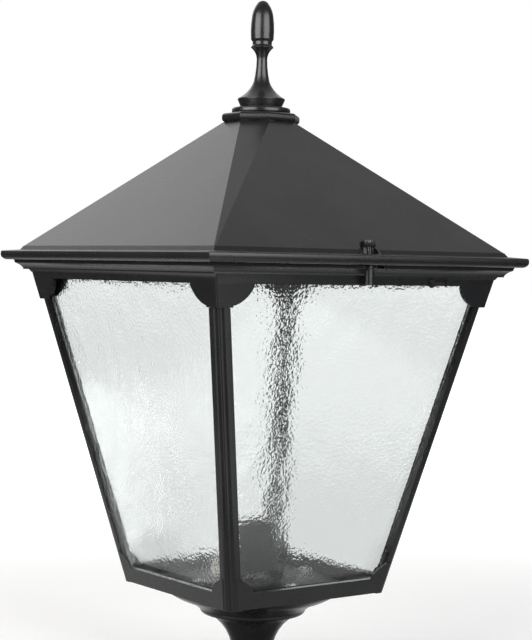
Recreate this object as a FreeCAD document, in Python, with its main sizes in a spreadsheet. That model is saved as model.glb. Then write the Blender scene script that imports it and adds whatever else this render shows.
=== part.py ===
import FreeCAD, Part
import math
import os
from types import SimpleNamespace

import Sketcher

# Square, tapering post-top street lantern. Millimetres, +Z up. The origin is the centre of the mouth of the
# neck's socket, where the post's pipe enters. The lock screw faces -Y and the roof is hinged at +Y.

SIZES = [
    # Roof: a pyramid over a moulded rim, with hip chamfers that widen towards an eight-sided cap.
    ("rim_half", 200.0),
    ("rim_z", 450.5),
    ("rim_height", 9.5),
    ("rim_nose_drop", 3.5),
    ("rim_nose_run", 1.2),
    ("rim_nose_radius", 6.0),
    ("rim_round_run", 4.8),
    ("rim_round_radius", 6.0),
    ("rim_lip", 4.6),
    ("rim_recess", 8.0),
    ("rim_recess_depth", 4.8),
    ("band_run", 2.8),
    ("band_rise", 1.4),
    ("rim_ledge", 18.4),
    ("foot_rise", 5.5),
    ("foot_cut", 1.0),
    ("roof_wall", 3.5),
    ("cap_seat_half", 37.1),
    ("cap_seat_cut", 21.7),
    ("cap_seat_z", 588.6),
    ("cap_overhang", 1.8),
    ("cap_height", 9.4),
    ("cap_round", 3.6),
    # Lock screw and the pocket it stands in.
    ("lock_inset", 18.0),
    ("pocket_radius", 9.6),
    ("pocket_wall", 3.2),
    ("pocket_floor", 4.9),
    ("neck_hole_radius", 2.5),
    ("lock_head_radius", 5.65),
    ("lock_head_height", 5.4),
    ("lock_head_gap", 7.0),
    ("lock_slot_width", 1.4),
    ("lock_slot_depth", 1.8),
    ("lock_neck_radius", 2.3),
    ("lock_thread_radius", 3.0),
    ("lock_thread_length", 5.5),
    ("lock_reach", 5.0),
    ("lock_washer_radius", 6.6),
    ("lock_washer_thick", 1.2),
    ("lock_clearance", 0.4),
    # Finial and what holds it.
    ("finial_height", 119.3),
    ("finial_disc_radius", 27.5),
    ("finial_disc_height", 6.6),
    ("finial_disc_bulge", 3.31),
    ("finial_lip_radius", 24.9),
    ("finial_waist_radius", 5.55),
    ("finial_acorn_radius", 11.9),
    ("finial_lip_rise", 16.2),
    ("finial_lip_thick", 1.2),
    ("finial_shoulder_rise", 19.3),
    ("finial_stem_rise", 34.0),
    ("finial_waist_rise", 57.1),
    ("finial_cup_rise", 70.0),
    ("finial_acorn_rise", 78.4),
    ("finial_crown_rise", 103.5),
    ("finial_dish_bend", 31.0),
    ("finial_stem_bend", 105.0),
    ("finial_cup_bend", 15.7),
    ("finial_acorn_bend", 113.0),
    ("finial_crown_bend", 28.0),
    ("finial_tip_radius", 7.0),
    ("finial_hole_depth", 30.0),
    ("stud_radius", 4.0),
    ("stud_tail", 12.0),
    ("nut_flats", 13.0),
    ("nut_height", 6.5),
    ("washer_radius", 10.0),
    ("washer_thick", 1.6),
    # Tapering faces of the cage and the top frame.
    ("cage_foot_half", 101.8),
    ("cage_foot_z", 99.2),
    ("wall", 7.0),
    ("bracket_thick", 3.0),
    # Top frame: cornice, fascia and brackets.
    ("roof_gap", 0.3),
    ("rim_overhang", 12.0),
    ("cornice_edge", 0.3),
    ("cove_run", 6.1),
    ("cove_drop", 5.3),
    ("cove_radius", 12.0),
    ("step_height", 1.3),
    ("fillet_run", 4.7),
    ("fillet_height", 2.1),
    ("fascia_set_back", 1.8),
    ("frame_arris", 2.0),
    ("seal_drop", 2.9),
    ("seal_thick", 5.9),
    ("seal_overhang", 1.4),
    ("seal_lean", 0.9),
    ("seal_gap", 0.1),
    ("seal_top_gap", 0.5),
    ("seal_notch_gap", 0.4),
    ("fascia_height", 7.5),
    ("bracket_drop", 22.0),
    ("bracket_width", 43.5),
    ("bracket_nick", 2.0),
    ("bracket_foot", 20.5),
    ("bracket_radius", 42.0),
    ("lug_radius", 5.2),
    # Cage: corner posts with two reeds each, bottom rail and brackets.
    ("post_recess", 1.0),
    ("post_edge", 15.5),
    ("post_chamfer", 10.9),
    ("post_inner", 19.0),
    ("reed_radius", 4.5),
    ("post_foot_drop", 1.0),
    ("tenon_gap", 0.2),
    ("tenon_chamfer", 13.6),
    ("rail_height", 16.3),
    ("rail_bracket_rise", 15.6),
    ("rail_bracket_width", 29.5),
    ("rail_bracket_nick", 1.6),
    ("rail_bracket_radius", 20.0),
    ("ledge_height", 6.8),
    ("ledge_inset", 12.2),
    ("flange_thick", 4.0),
    ("flange_half", 45.0),
    ("post_screw_rise", 10.5),
    ("post_screw_radius", 2.0),
    ("post_screw_length", 10.0),
    ("post_screw_head_radius", 3.4),
    ("post_screw_head_height", 2.4),
    # Hinges on the back.
    ("hinge_out", 8.0),
    ("hinge_drop", 6.5),
    ("hinge_spread", 110.0),
    ("hinge_eye_radius", 6.2),
    ("hinge_lug_width", 14.0),
    ("hinge_ear_width", 5.0),
    ("hinge_ear_depth", 17.1),
    ("hinge_side_gap", 0.4),
    ("hinge_pin_radius", 3.0),
    ("hinge_pin_head_radius", 5.0),
    ("hinge_pin_head_height", 2.4),
    ("hinge_pin_tail", 4.0),
    ("running_gap", 0.05),
    ("clip_ring_radius", 5.4),
    ("clip_ring_thick", 0.9),
    # Panes and their clips.
    ("pane_gap", 0.3),
    ("pane_thick", 4.0),
    ("pane_side", 14.0),
    ("pane_lap", 10.7),
    ("clip_width", 12.0),
    ("clip_thick", 0.8),
    ("clip_spread", 90.0),
    ("clip_hold", 8.0),
    ("clip_screw_radius", 2.0),
    ("clip_screw_length", 6.0),
    ("clip_screw_head_radius", 3.6),
    ("clip_screw_head_height", 2.0),
    # Catch plate on the front fascia.
    ("catch_place", 88.5),
    ("catch_rise", 2.4),
    ("catch_radius", 4.4),
    ("catch_thick", 1.6),
    ("catch_length", 20.0),
    ("catch_bar_height", 4.0),
    ("catch_tab_length", 3.2),
    ("catch_tab_slant", 1.0),
    ("catch_screw_radius", 1.5),
    ("catch_screw_length", 5.0),
    ("catch_screw_head_radius", 2.8),
    ("catch_screw_head_height", 1.5),
    # Tray, base neck and their bolts.
    ("tray_clearance", 1.4),
    ("tray_lip_run", 5.4),
    ("tray_lip_height", 12.6),
    ("tray_thick", 1.5),
    ("seat_gap", 0.2),
    ("bolt_inset", 20.2),
    ("bolt_radius", 3.0),
    ("bolt_hole_radius", 3.3),
    ("bolt_flats", 10.0),
    ("bolt_head", 4.0),
    ("bolt_reach", 9.0),
    ("bolt_washer_radius", 6.0),
    ("bolt_washer_thick", 1.6),
    ("dish_inset", 10.0),
    ("dish_edge", 5.4),
    ("dish_land", 8.0),
    ("lip_radius", 56.0),
    ("lip_z", 75.6),
    ("trumpet_top_radius", 47.0),
    ("trumpet_top_z", 70.0),
    ("trumpet_radius", 49.4),
    ("collar_radius", 22.5),
    ("collar_height", 38.0),
    ("socket_radius", 17.05),
    ("socket_depth", 50.0),
    ("cable_way_radius", 13.0),
    ("set_screw_z", 20.0),
    ("set_screw_radius", 4.0),
    ("set_screw_length", 9.0),
    ("set_screw_key", 4.0),
    ("set_screw_key_depth", 3.0),
    # Lamp holder and wiring pieces on the tray.
    ("bracket_strip", 30.0),
    ("bracket_sheet", 1.5),
    ("bracket_rise", 13.0),
    ("bracket_top_half", 27.0),
    ("bracket_span_half", 44.0),
    ("holder_radius", 24.0),
    ("holder_height", 50.0),
    ("holder_wall", 4.0),
    ("holder_floor", 5.0),
    ("holder_mouth_radius", 16.0),
    ("contact_block_height", 11.0),
    ("shell_radius", 13.4),
    ("shell_thick", 0.6),
    ("shell_height", 26.0),
    ("contact_radius", 3.0),
    ("contact_height", 6.0),
    ("small_screw_radius", 2.0),
    ("small_screw_head_radius", 3.6),
    ("small_screw_head_height", 2.4),
    ("small_screw_length", 6.0),
    ("holder_screw_spread", 36.0),
    ("terminal_length", 32.0),
    ("terminal_depth", 18.0),
    ("terminal_height", 15.0),
    ("terminal_inset", 60.0),
    ("terminal_pitch", 16.0),
    ("terminal_recess", 2.6),
    ("grommet_radius", 13.0),
    ("grommet_bore", 6.0),
    ("grommet_hole", 10.0),
    ("grommet_lip", 1.6),
    ("earth_place", 52.0),
    ("earth_screw_length", 5.0),
]

doc = FreeCAD.newDocument("StreetLantern")
sheet = doc.addObject("Spreadsheet::Sheet", "Sizes")
for row, (alias, number) in enumerate(SIZES, start=1):
    sheet.set(f"A{row}", alias)
    sheet.set(f"B{row}", str(number))
    sheet.setAlias(f"B{row}", alias)
doc.recompute()


class Size:
    """A length that carries its value and the sheet formula that gives it."""

    def __init__(self, value, formula):
        self.value = float(value)
        self.formula = formula

    def __add__(self, other):
        other = as_size(other)
        return Size(self.value + other.value, f"({self.formula} + {other.formula})")

    def __radd__(self, other):
        return as_size(other) + self

    def __sub__(self, other):
        other = as_size(other)
        return Size(self.value - other.value, f"({self.formula} - {other.formula})")

    def __rsub__(self, other):
        return as_size(other) - self

    def __mul__(self, other):
        other = as_size(other)
        return Size(self.value * other.value, f"({self.formula} * {other.formula})")

    def __rmul__(self, other):
        return as_size(other) * self

    def __truediv__(self, other):
        other = as_size(other)
        return Size(self.value / other.value, f"({self.formula} / {other.formula})")

    def __neg__(self):
        return Size(-self.value, f"(0 - {self.formula})")


def as_size(number):
    """A plain number as a Size."""
    if isinstance(number, Size):
        return number
    return Size(number, repr(float(number)))


def root(number):
    """Square root of a Size."""
    return Size(math.sqrt(number.value), f"sqrt({number.formula})")


def bind(thing, prop, size):
    """Ties a property of an object to the sheet."""
    thing.setExpression(prop, as_size(size).formula)


d = SimpleNamespace(**{alias: Size(number, f"Sizes.{alias}") for alias, number in SIZES})
NODES = []


def node(thing, name):
    """Names a finished piece and lists it for export."""
    thing.Label = name
    NODES.append(thing)
    return thing


# Sketches, solids and copies

UPRIGHT = FreeCAD.Rotation(FreeCAD.Vector(1, 0, 0), 90)
SIDEWAYS = FreeCAD.Rotation(0.5, 0.5, 0.5, 0.5)


def draw(sketch, corners):
    """Adds one closed outline. A third number at a corner bends the edge that leaves it to that radius:
    positive with its centre on the left of the way round, negative with its centre on the right."""
    start = sketch.GeometryCount
    count = len(corners)
    places = [(as_size(corner[0]), as_size(corner[1])) for corner in corners]
    starts = []
    ends = []
    for index, corner in enumerate(corners):
        x_1, y_1 = (side.value for side in places[index])
        x_2, y_2 = (side.value for side in places[(index + 1) % count])
        geometry = start + index
        if len(corner) == 2:
            line = Part.LineSegment(FreeCAD.Vector(x_1, y_1, 0), FreeCAD.Vector(x_2, y_2, 0))
            sketch.addGeometry(line, False)
            starts.append((geometry, 1))
            ends.append((geometry, 2))
            continue
        radius = as_size(corner[2]).value
        chord = math.hypot(x_2 - x_1, y_2 - y_1)
        rise = math.sqrt(radius * radius - chord * chord / 4)
        side = 1 if radius > 0 else -1
        centre_x = (x_1 + x_2) / 2 - side * rise * (y_2 - y_1) / chord
        centre_y = (y_1 + y_2) / 2 + side * rise * (x_2 - x_1) / chord
        circle = Part.Circle(FreeCAD.Vector(centre_x, centre_y, 0), FreeCAD.Vector(0, 0, 1), abs(radius))
        angle_1 = math.atan2(y_1 - centre_y, x_1 - centre_x)
        angle_2 = math.atan2(y_2 - centre_y, x_2 - centre_x)
        if side > 0:
            sketch.addGeometry(Part.ArcOfCircle(circle, angle_1, angle_2), False)
            starts.append((geometry, 1))
            ends.append((geometry, 2))
        else:
            sketch.addGeometry(Part.ArcOfCircle(circle, angle_2, angle_1), False)
            starts.append((geometry, 2))
            ends.append((geometry, 1))
    for index, corner in enumerate(corners):
        geometry, point = starts[index]
        before, before_point = ends[index - 1]
        sketch.addConstraint(Sketcher.Constraint("Coincident", before, before_point, geometry, point))
        x, y = places[index]
        pin(sketch, "DistanceX", geometry, point, x, -2)
        pin(sketch, "DistanceY", geometry, point, y, -1)
        if len(corner) == 3:
            radius = as_size(corner[2])
            if radius.value < 0:
                radius = -radius
            number = sketch.addConstraint(Sketcher.Constraint("Radius", geometry, radius.value))
            sketch.setExpression(f"Constraints[{number}]", radius.formula)
    return sketch


def pin(sketch, kind, geometry, point, size, axis):
    """Holds a corner at a distance from the origin, or on an axis where that distance is zero."""
    if size.value == 0:
        sketch.addConstraint(Sketcher.Constraint("PointOnObject", geometry, point, axis))
        return
    number = sketch.addConstraint(Sketcher.Constraint(kind, -1, 1, geometry, point, size.value))
    sketch.setExpression(f"Constraints[{number}]", size.formula)


def free_sketch(name, corners, rotation=FreeCAD.Rotation(), z=None, x=None, y=None):
    """A sketch that stands by itself, turned and raised as asked."""
    sketch = doc.addObject("Sketcher::SketchObject", name)
    sketch.Placement = FreeCAD.Placement(FreeCAD.Vector(0, 0, 0), rotation)
    for axis, place in (("x", x), ("y", y), ("z", z)):
        if place is not None:
            bind(sketch, f"Placement.Base.{axis}", place)
    return draw(sketch, corners)


def square(half):
    """Corners of a square about the origin, starting at the middle of one side."""
    return [(half, 0), (half, half), (-half, half), (-half, -half), (half, -half)]


def octagon(half, cut):
    """Corners of a square about the origin with its corners cut off."""
    near = half - cut
    return [
        (half, -near), (half, near), (near, half), (-near, half),
        (-half, near), (-half, -near), (-near, -half), (near, -half),
    ]


def box_corners(x_low, x_high, y_low, y_high):
    """Corners of a rectangle."""
    return [(x_low, y_low), (x_high, y_low), (x_high, y_high), (x_low, y_high)]


def moulding(name, corners, path_half):
    """A section carried round a square with mitred corners."""
    section = free_sketch(f"{name}_section", corners, UPRIGHT)
    path = free_sketch(f"{name}_path", square(path_half))
    sweep = doc.addObject("Part::Sweep", name)
    sweep.Sections = [section]
    sweep.Spine = (path, [f"Edge{number}" for number in range(1, 6)])
    sweep.Solid = True
    sweep.Transition = "Right corner"
    return sweep


def loft(name, low, high):
    """A solid with flat sides between two level outlines, each given as its corners and its height."""
    thing = doc.addObject("Part::Loft", name)
    sections = []
    for tag, (corners, height) in (("low", low), ("high", high)):
        sections.append(free_sketch(f"{name}_{tag}", corners, z=height))
    thing.Sections = sections
    thing.Solid = True
    thing.Ruled = True
    return thing


def extrude(name, sketch, length, both_ways=True):
    """Pushes a sketch along its normal."""
    thing = doc.addObject("Part::Extrusion", name)
    thing.Base = sketch
    thing.DirMode = "Normal"
    bind(thing, "LengthFwd", length)
    thing.Symmetric = both_ways
    thing.Solid = True
    return thing


def cylinder(name, radius, height, x=0, y=0, z=0, rotation=FreeCAD.Rotation()):
    """A round bar with its foot at a given place."""
    thing = doc.addObject("Part::Cylinder", name)
    thing.Placement = FreeCAD.Placement(FreeCAD.Vector(0, 0, 0), rotation)
    bind(thing, "Radius", radius)
    bind(thing, "Height", height)
    place(thing, x, y, z)
    return thing


def prism(name, flats, height, x=0, y=0, z=0):
    """A hexagonal bar, given across its flats."""
    thing = doc.addObject("Part::Prism", name)
    thing.Polygon = 6
    bind(thing, "Circumradius", flats / math.sqrt(3))
    bind(thing, "Height", height)
    place(thing, x, y, z)
    return thing


def block(name, x_size, y_size, z_size, x, y, z):
    """A box about a level centre line, standing at a given place."""
    thing = doc.addObject("Part::Box", name)
    bind(thing, "Length", x_size)
    bind(thing, "Width", y_size)
    bind(thing, "Height", z_size)
    place(thing, as_size(x) - as_size(x_size) / 2, as_size(y) - as_size(y_size) / 2, z)
    return thing


def place(thing, x, y, z):
    """Ties an object's place to the sheet."""
    for axis, size in (("x", x), ("y", y), ("z", z)):
        bind(thing, f"Placement.Base.{axis}", size)


def fuse(name, things):
    """One solid from several that touch."""
    thing = doc.addObject("Part::MultiFuse", name)
    thing.Shapes = things
    thing.Refine = True
    return thing


def group(name, things):
    """Several like solids that stay apart."""
    thing = doc.addObject("Part::Compound", name)
    thing.Links = things
    return thing


def cut(name, base, tools):
    """A solid less one or more others."""
    thing = doc.addObject("Part::Cut", name)
    thing.Base = base
    thing.Tool = tools[0] if len(tools) == 1 else fuse(f"{name}_tools", tools)
    thing.Refine = True
    return thing


def common(name, base, tool):
    """What two solids share."""
    thing = doc.addObject("Part::Common", name)
    thing.Base = base
    thing.Tool = tool
    return thing


def mirror(name, source, normal):
    """A copy on the other side of a plane through the origin."""
    thing = doc.addObject("Part::Mirroring", name)
    thing.Source = source
    thing.Base = FreeCAD.Vector(0, 0, 0)
    thing.Normal = FreeCAD.Vector(*normal)
    return thing


def both_sides(name, source, normal, join):
    """A piece and its mirror image, joined or grouped."""
    return join(name, [source, mirror(f"{name}_mirror", source, normal)])


def four_corners(name, source, join):
    """A corner piece repeated at all four corners."""
    pair = both_sides(f"{name}_pair", source, (1, 0, 0), join)
    return both_sides(name, pair, (0, 1, 0), join)


def four_faces(name, source, join):
    """A piece of the -Y face repeated on all four faces."""
    pair = both_sides(f"{name}_pair", source, (0, 1, 0), join)
    return both_sides(name, pair, (1, -1, 0), join)


def turned(name, corners):
    """A body turned about the vertical axis from its half outline."""
    body = doc.addObject("PartDesign::Body", name)
    sketch = body.newObject("Sketcher::SketchObject", f"{name}_profile")
    plane = [part for part in body.Origin.OriginFeatures if part.Role == "XZ_Plane"][0]
    sketch.AttachmentSupport = [(plane, "")]
    sketch.MapMode = "FlatFace"
    draw(sketch, corners)
    revolution = body.newObject("PartDesign::Revolution", f"{name}_turn")
    revolution.Profile = sketch
    revolution.ReferenceAxis = (sketch, ["V_Axis"])
    revolution.Angle = 360
    body.Tip = revolution
    return body


# Levels and lines that several pieces share

foot_half = d.rim_half - d.rim_ledge
foot_z = d.rim_z + d.foot_rise
band_half = foot_half + d.band_run
band_z = d.rim_z + d.band_rise
roof_seat_z = d.rim_z - d.rim_height
cap_half = d.cap_seat_half + d.cap_overhang
finial_z = d.cap_seat_z + d.cap_height
lock_y = d.lock_inset - d.rim_half
pocket_floor_z = band_z
hinge_y = d.rim_half + d.hinge_out
hinge_z = d.rim_z - d.hinge_drop

cornice_half = d.rim_half - d.rim_overhang
cornice_z = roof_seat_z - d.roof_gap
seal_z = cornice_z - d.seal_drop
cove_top_z = seal_z - d.cornice_edge
cove_foot_z = cove_top_z - d.cove_drop
step_half = cornice_half - d.cove_run
step_z = cove_foot_z - d.step_height
fillet_half = step_half - d.fillet_run
fascia_top_half = fillet_half - d.fascia_set_back
fascia_top_z = step_z - d.fillet_height
fascia_foot_z = fascia_top_z - d.fascia_height
bracket_foot_z = fascia_foot_z - d.bracket_drop
taper = (fascia_top_half - d.cage_foot_half) / (fascia_top_z - d.cage_foot_z)
face_run = root(1 + taper * taper)


def face_half(z):
    """Half width of the lantern between its tapering faces at a height."""
    return d.cage_foot_half + taper * (z - d.cage_foot_z)


rail_top_z = d.cage_foot_z + d.rail_height
ledge_z = d.cage_foot_z + d.ledge_height
ledge_half = d.cage_foot_half - d.ledge_inset
floor_z = d.cage_foot_z + d.flange_thick
tray_z = floor_z + d.seat_gap
tray_top_z = tray_z + d.tray_thick
tray_half = ledge_half - d.tray_clearance
tray_lip_half = tray_half + d.tray_lip_run
bolt_circle = tray_half - d.bolt_inset
dish_radius = d.cage_foot_half - d.dish_inset
dish_inner = bolt_circle - d.dish_land
pane_low_z = ledge_z + d.pane_gap
pane_high_z = fascia_foot_z + d.pane_lap
clip_step_z = pane_high_z + d.pane_gap
clip_top_z = cornice_z - d.roof_gap
clip_screw_z = (clip_top_z + clip_step_z) / 2
clip_seat = -(d.wall + d.clip_thick) / face_run
FACE_TURN = FreeCAD.Rotation(FreeCAD.Vector(1, 0, 0), 90 + math.degrees(math.atan(taper.value)))


def off_face(level, out, up=0):
    """The place of a point a distance out from the front's tapering face and up it, from a level on it."""
    y = -face_half(level) - (out + up * taper) / face_run
    z = level + (up - out * taper) / face_run
    return y, z


def face_bar(name, radius, length, x, level, out):
    """A round bar square to the front's tapering face, from a distance out of it, pointing outwards."""
    y, z = off_face(level, as_size(out))
    return cylinder(name, radius, length, x, y, z, FACE_TURN)


# Roof

slope = (foot_half - d.cap_seat_half) / (d.cap_seat_z - foot_z)
wall_run = d.roof_wall * root(1 + slope * slope)
inner_foot_half = foot_half - wall_run
cap_inner_z = d.cap_seat_z - d.roof_wall
cap_inner_half = d.cap_seat_half + d.roof_wall * slope - wall_run
foot_diagonal = (2 * foot_half - d.foot_cut) / math.sqrt(2)
cap_diagonal = (2 * d.cap_seat_half - d.cap_seat_cut) / math.sqrt(2)
hip_slope = (foot_diagonal - cap_diagonal) / (d.cap_seat_z - foot_z)
hip_run = d.roof_wall * root(1 + hip_slope * hip_slope)
cap_inner_diagonal = cap_diagonal + d.roof_wall * hip_slope - hip_run
cap_inner_cut = 2 * cap_inner_half - cap_inner_diagonal * math.sqrt(2)

rim_foot_half = d.rim_half - d.rim_round_run
lip_inner = rim_foot_half - d.rim_lip
recess_inner = lip_inner - d.rim_recess
recess_z = roof_seat_z + d.rim_recess_depth
rim = moulding(
    "roof_rim",
    [
        (inner_foot_half, roof_seat_z),
        (recess_inner, roof_seat_z),
        (recess_inner, recess_z),
        (lip_inner, recess_z),
        (lip_inner, roof_seat_z),
        (rim_foot_half, roof_seat_z, d.rim_round_radius),
        (d.rim_half, d.rim_z - d.rim_nose_drop, d.rim_nose_radius),
        (d.rim_half - d.rim_nose_run, d.rim_z),
        (band_half, band_z),
        (foot_half, foot_z),
        (inner_foot_half, foot_z),
    ],
    foot_half,
)
pyramid = loft(
    "roof_pyramid",
    (octagon(foot_half, d.foot_cut), foot_z),
    (octagon(d.cap_seat_half, d.cap_seat_cut), d.cap_seat_z),
)
hollow = loft(
    "roof_hollow",
    (octagon(inner_foot_half, d.foot_cut / 2), foot_z),
    (octagon(cap_inner_half, cap_inner_cut), cap_inner_z),
)
shell = cut("roof_shell", pyramid, [hollow])

cap_block = doc.addObject("Part::Prism", "roof_cap_block")
cap_block.Polygon = 8
cap_block.Placement = FreeCAD.Placement(
    FreeCAD.Vector(0, 0, 0), FreeCAD.Rotation(FreeCAD.Vector(0, 0, 1), 22.5)
)
bind(cap_block, "Circumradius", cap_half / math.cos(math.radians(22.5)))
bind(cap_block, "Height", d.cap_height)
bind(cap_block, "Placement.Base.z", d.cap_seat_z)
doc.recompute()
cap = doc.addObject("Part::Fillet", "roof_cap")
cap.Base = cap_block
level_edges = []
for number, edge in enumerate(cap_block.Shape.Edges, start=1):
    if abs(edge.BoundBox.ZLength) < 0.001:
        level_edges.append((number, d.cap_round.value, d.cap_round.value))
cap.Edges = level_edges

# The pocket's wall follows the roof's slope down through the rim.
deep_rise = foot_z - roof_seat_z
deep_pyramid = loft(
    "roof_slope_line",
    (octagon(foot_half + deep_rise * slope, d.foot_cut), roof_seat_z),
    (octagon(d.cap_seat_half, d.cap_seat_cut), d.cap_seat_z),
)
boss_bar = cylinder("pocket_bar", d.pocket_radius + d.pocket_wall, 2 * deep_rise, 0, lock_y, roof_seat_z)
pocket_boss = common("pocket_boss", boss_bar, deep_pyramid)

hinge_lug_depth = d.hinge_out + d.rim_round_run + d.rim_lip / 2
hinge_bar = block(
    "hinge_lug_bar",
    d.hinge_lug_width,
    hinge_lug_depth,
    hinge_z + d.hinge_eye_radius - roof_seat_z,
    d.hinge_spread,
    hinge_y - hinge_lug_depth / 2,
    roof_seat_z,
)
ALONG_X = FreeCAD.Rotation(FreeCAD.Vector(0, 1, 0), 90)
hinge_eye = cylinder(
    "hinge_lug_eye", d.hinge_eye_radius, d.hinge_lug_width,
    d.hinge_spread - d.hinge_lug_width / 2, hinge_y, hinge_z, ALONG_X,
)
hinge_lugs = both_sides("hinge_lugs", fuse("hinge_lug", [hinge_bar, hinge_eye]), (1, 0, 0), fuse)
roof_solid = fuse("roof_solid", [rim, shell, cap, pocket_boss, hinge_lugs])

pin_hole_radius = d.hinge_pin_radius + d.running_gap
lug_bore = cylinder(
    "lug_bore", pin_hole_radius, 2 * d.hinge_lug_width,
    d.hinge_spread - d.hinge_lug_width, hinge_y, hinge_z, ALONG_X,
)
lug_bores = both_sides("lug_bores", lug_bore, (1, 0, 0), group)
pocket = cylinder("pocket", d.pocket_radius, 2 * deep_rise, 0, lock_y, pocket_floor_z)
neck_hole = cylinder("neck_hole", d.neck_hole_radius, 2 * deep_rise, 0, lock_y, roof_seat_z)
thread_room = cylinder(
    "thread_room",
    d.lock_thread_radius + d.lock_clearance,
    pocket_floor_z - d.pocket_floor - roof_seat_z + 1,
    0,
    lock_y,
    roof_seat_z - 1,
)
stud_hole = cylinder(
    "stud_hole", d.stud_radius + d.running_gap, 2 * d.cap_height + d.roof_wall, 0, 0, cap_inner_z - 1
)
roof = node(
    cut("roof_casting", roof_solid, [pocket, neck_hole, thread_room, stud_hole, lug_bores]), "roof"
)


# Finial, with the stud, washer and nut that hold it

lip_z = finial_z + d.finial_lip_rise
shoulder_z = finial_z + d.finial_shoulder_rise
stem_z = finial_z + d.finial_stem_rise
waist_z = finial_z + d.finial_waist_rise
cup_z = finial_z + d.finial_cup_rise
acorn_z = finial_z + d.finial_acorn_rise
crown_z = finial_z + d.finial_crown_rise
tip_z = finial_z + d.finial_height
finial_hole = d.stud_radius + d.running_gap
finial = node(
    turned(
        "finial_body",
        [
            (finial_hole, finial_z),
            (d.finial_disc_radius, finial_z, d.finial_disc_bulge),
            (d.finial_disc_radius, finial_z + d.finial_disc_height),
            (d.finial_lip_radius - 3.5, finial_z + d.finial_disc_height + 0.5),
            (d.finial_lip_radius, lip_z - d.finial_lip_thick),
            (d.finial_lip_radius, lip_z),
            (d.finial_lip_radius - 4.8, shoulder_z, -d.finial_dish_bend),
            (d.finial_waist_radius + 2.85, stem_z, -d.finial_stem_bend),
            (d.finial_waist_radius, waist_z, -d.finial_cup_bend),
            (d.finial_acorn_radius, cup_z),
            (d.finial_acorn_radius - 0.4, cup_z + 1.2),
            (d.finial_acorn_radius - 1.7, cup_z + 2.6),
            (d.finial_acorn_radius - 1.7, cup_z + 6.2),
            (d.finial_acorn_radius, acorn_z, d.finial_acorn_bend),
            (d.finial_acorn_radius - 0.7, crown_z, d.finial_crown_bend),
            (d.finial_tip_radius * 0.8, tip_z - d.finial_tip_radius * 0.4, d.finial_tip_radius),
            (0, tip_z),
            (0, finial_z + d.finial_hole_depth),
            (finial_hole, finial_z + d.finial_hole_depth),
        ],
    ),
    "finial",
)
stud_low_z = cap_inner_z - d.stud_tail
stud_length = finial_z + d.finial_hole_depth - 1 - stud_low_z
finial_stud = node(cylinder("stud_bar", d.stud_radius, stud_length, 0, 0, stud_low_z), "finial_stud")
washer_bar = cylinder("washer_bar", d.washer_radius, d.washer_thick, 0, 0, cap_inner_z - d.washer_thick)
washer_hole = cylinder(
    "washer_hole", d.stud_radius + d.running_gap, 3 * d.washer_thick, 0, 0, cap_inner_z - 2 * d.washer_thick
)
finial_washer = node(cut("washer_ring", washer_bar, [washer_hole]), "finial_washer")
nut_z = cap_inner_z - d.washer_thick - d.nut_height
nut_bar = prism("nut_bar", d.nut_flats, d.nut_height, 0, 0, nut_z)
nut_hole = cylinder("nut_hole", d.stud_radius + d.running_gap, 3 * d.nut_height, 0, 0, nut_z - d.nut_height)
finial_nut = node(cut("nut_ring", nut_bar, [nut_hole]), "finial_nut")


# Lock screw and its washer

lock_tip_z = cornice_z - d.lock_reach
lock_neck_low_z = lock_tip_z + d.lock_thread_length
lock_head_z = pocket_floor_z + d.lock_head_gap + d.lock_washer_thick
lock_head = cylinder("lock_head", d.lock_head_radius, d.lock_head_height, 0, lock_y, lock_head_z)
lock_neck = cylinder(
    "lock_neck", d.lock_neck_radius, lock_head_z - lock_neck_low_z, 0, lock_y, lock_neck_low_z
)
lock_thread = cylinder("lock_thread", d.lock_thread_radius, d.lock_thread_length, 0, lock_y, lock_tip_z)
lock_slot = block(
    "lock_slot",
    d.lock_slot_width,
    3 * d.lock_head_radius,
    2 * d.lock_slot_depth,
    0,
    lock_y,
    lock_head_z + d.lock_head_height - d.lock_slot_depth,
)
lock_bar = fuse("lock_bar", [lock_head, lock_neck, lock_thread])
lock_screw = node(cut("lock_screw_solid", lock_bar, [lock_slot]), "lock_screw")
lock_washer_z = lock_head_z - d.lock_washer_thick
lock_washer_bar = cylinder(
    "lock_washer_bar", d.lock_washer_radius, d.lock_washer_thick, 0, lock_y, lock_washer_z
)
lock_washer_hole = cylinder(
    "lock_washer_hole",
    d.lock_neck_radius + d.running_gap,
    3 * d.lock_washer_thick,
    0,
    lock_y,
    lock_washer_z - d.lock_washer_thick,
)
lock_washer = node(cut("lock_washer_ring", lock_washer_bar, [lock_washer_hole]), "lock_washer")


# Top frame

seal_outer = cornice_half + d.seal_overhang
seal_inner = seal_outer - d.seal_thick
cornice = moulding(
    "cornice",
    [
        (face_half(fascia_foot_z) - d.wall, fascia_foot_z),
        (face_half(fascia_foot_z), fascia_foot_z),
        (fascia_top_half, fascia_top_z),
        (fillet_half, fascia_top_z),
        (fillet_half, step_z),
        (step_half, step_z),
        (step_half, cove_foot_z, -d.cove_radius),
        (cornice_half, cove_top_z),
        (cornice_half, seal_z),
        (seal_inner - d.seal_gap, seal_z),
        (seal_inner - d.seal_gap, cornice_z),
        (face_half(cornice_z) - d.wall, cornice_z),
    ],
    fascia_top_half - d.wall / 2,
)


def skirt(name, low_z, high_z):
    """The tapering faces between two heights, as thick as the brackets."""
    outer = loft(
        f"{name}_outer", (square(face_half(low_z)), low_z), (square(face_half(high_z)), high_z)
    )
    inner = loft(
        f"{name}_inner",
        (square(face_half(low_z - 1) - d.bracket_thick), low_z - 1),
        (square(face_half(high_z + 1) - d.bracket_thick), high_z + 1),
    )
    return cut(f"{name}_skirt", outer, [inner])


def bracket_blocks(name, left, right, depth, y_middle):
    """Two outlines seen square to the -Y face, pushed through it and repeated on all faces."""
    sketch = free_sketch(f"{name}_lobes", left, UPRIGHT, y=y_middle)
    draw(sketch, right)
    return four_faces(f"{name}_blocks", extrude(f"{name}_block", sketch, depth), fuse)


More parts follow.
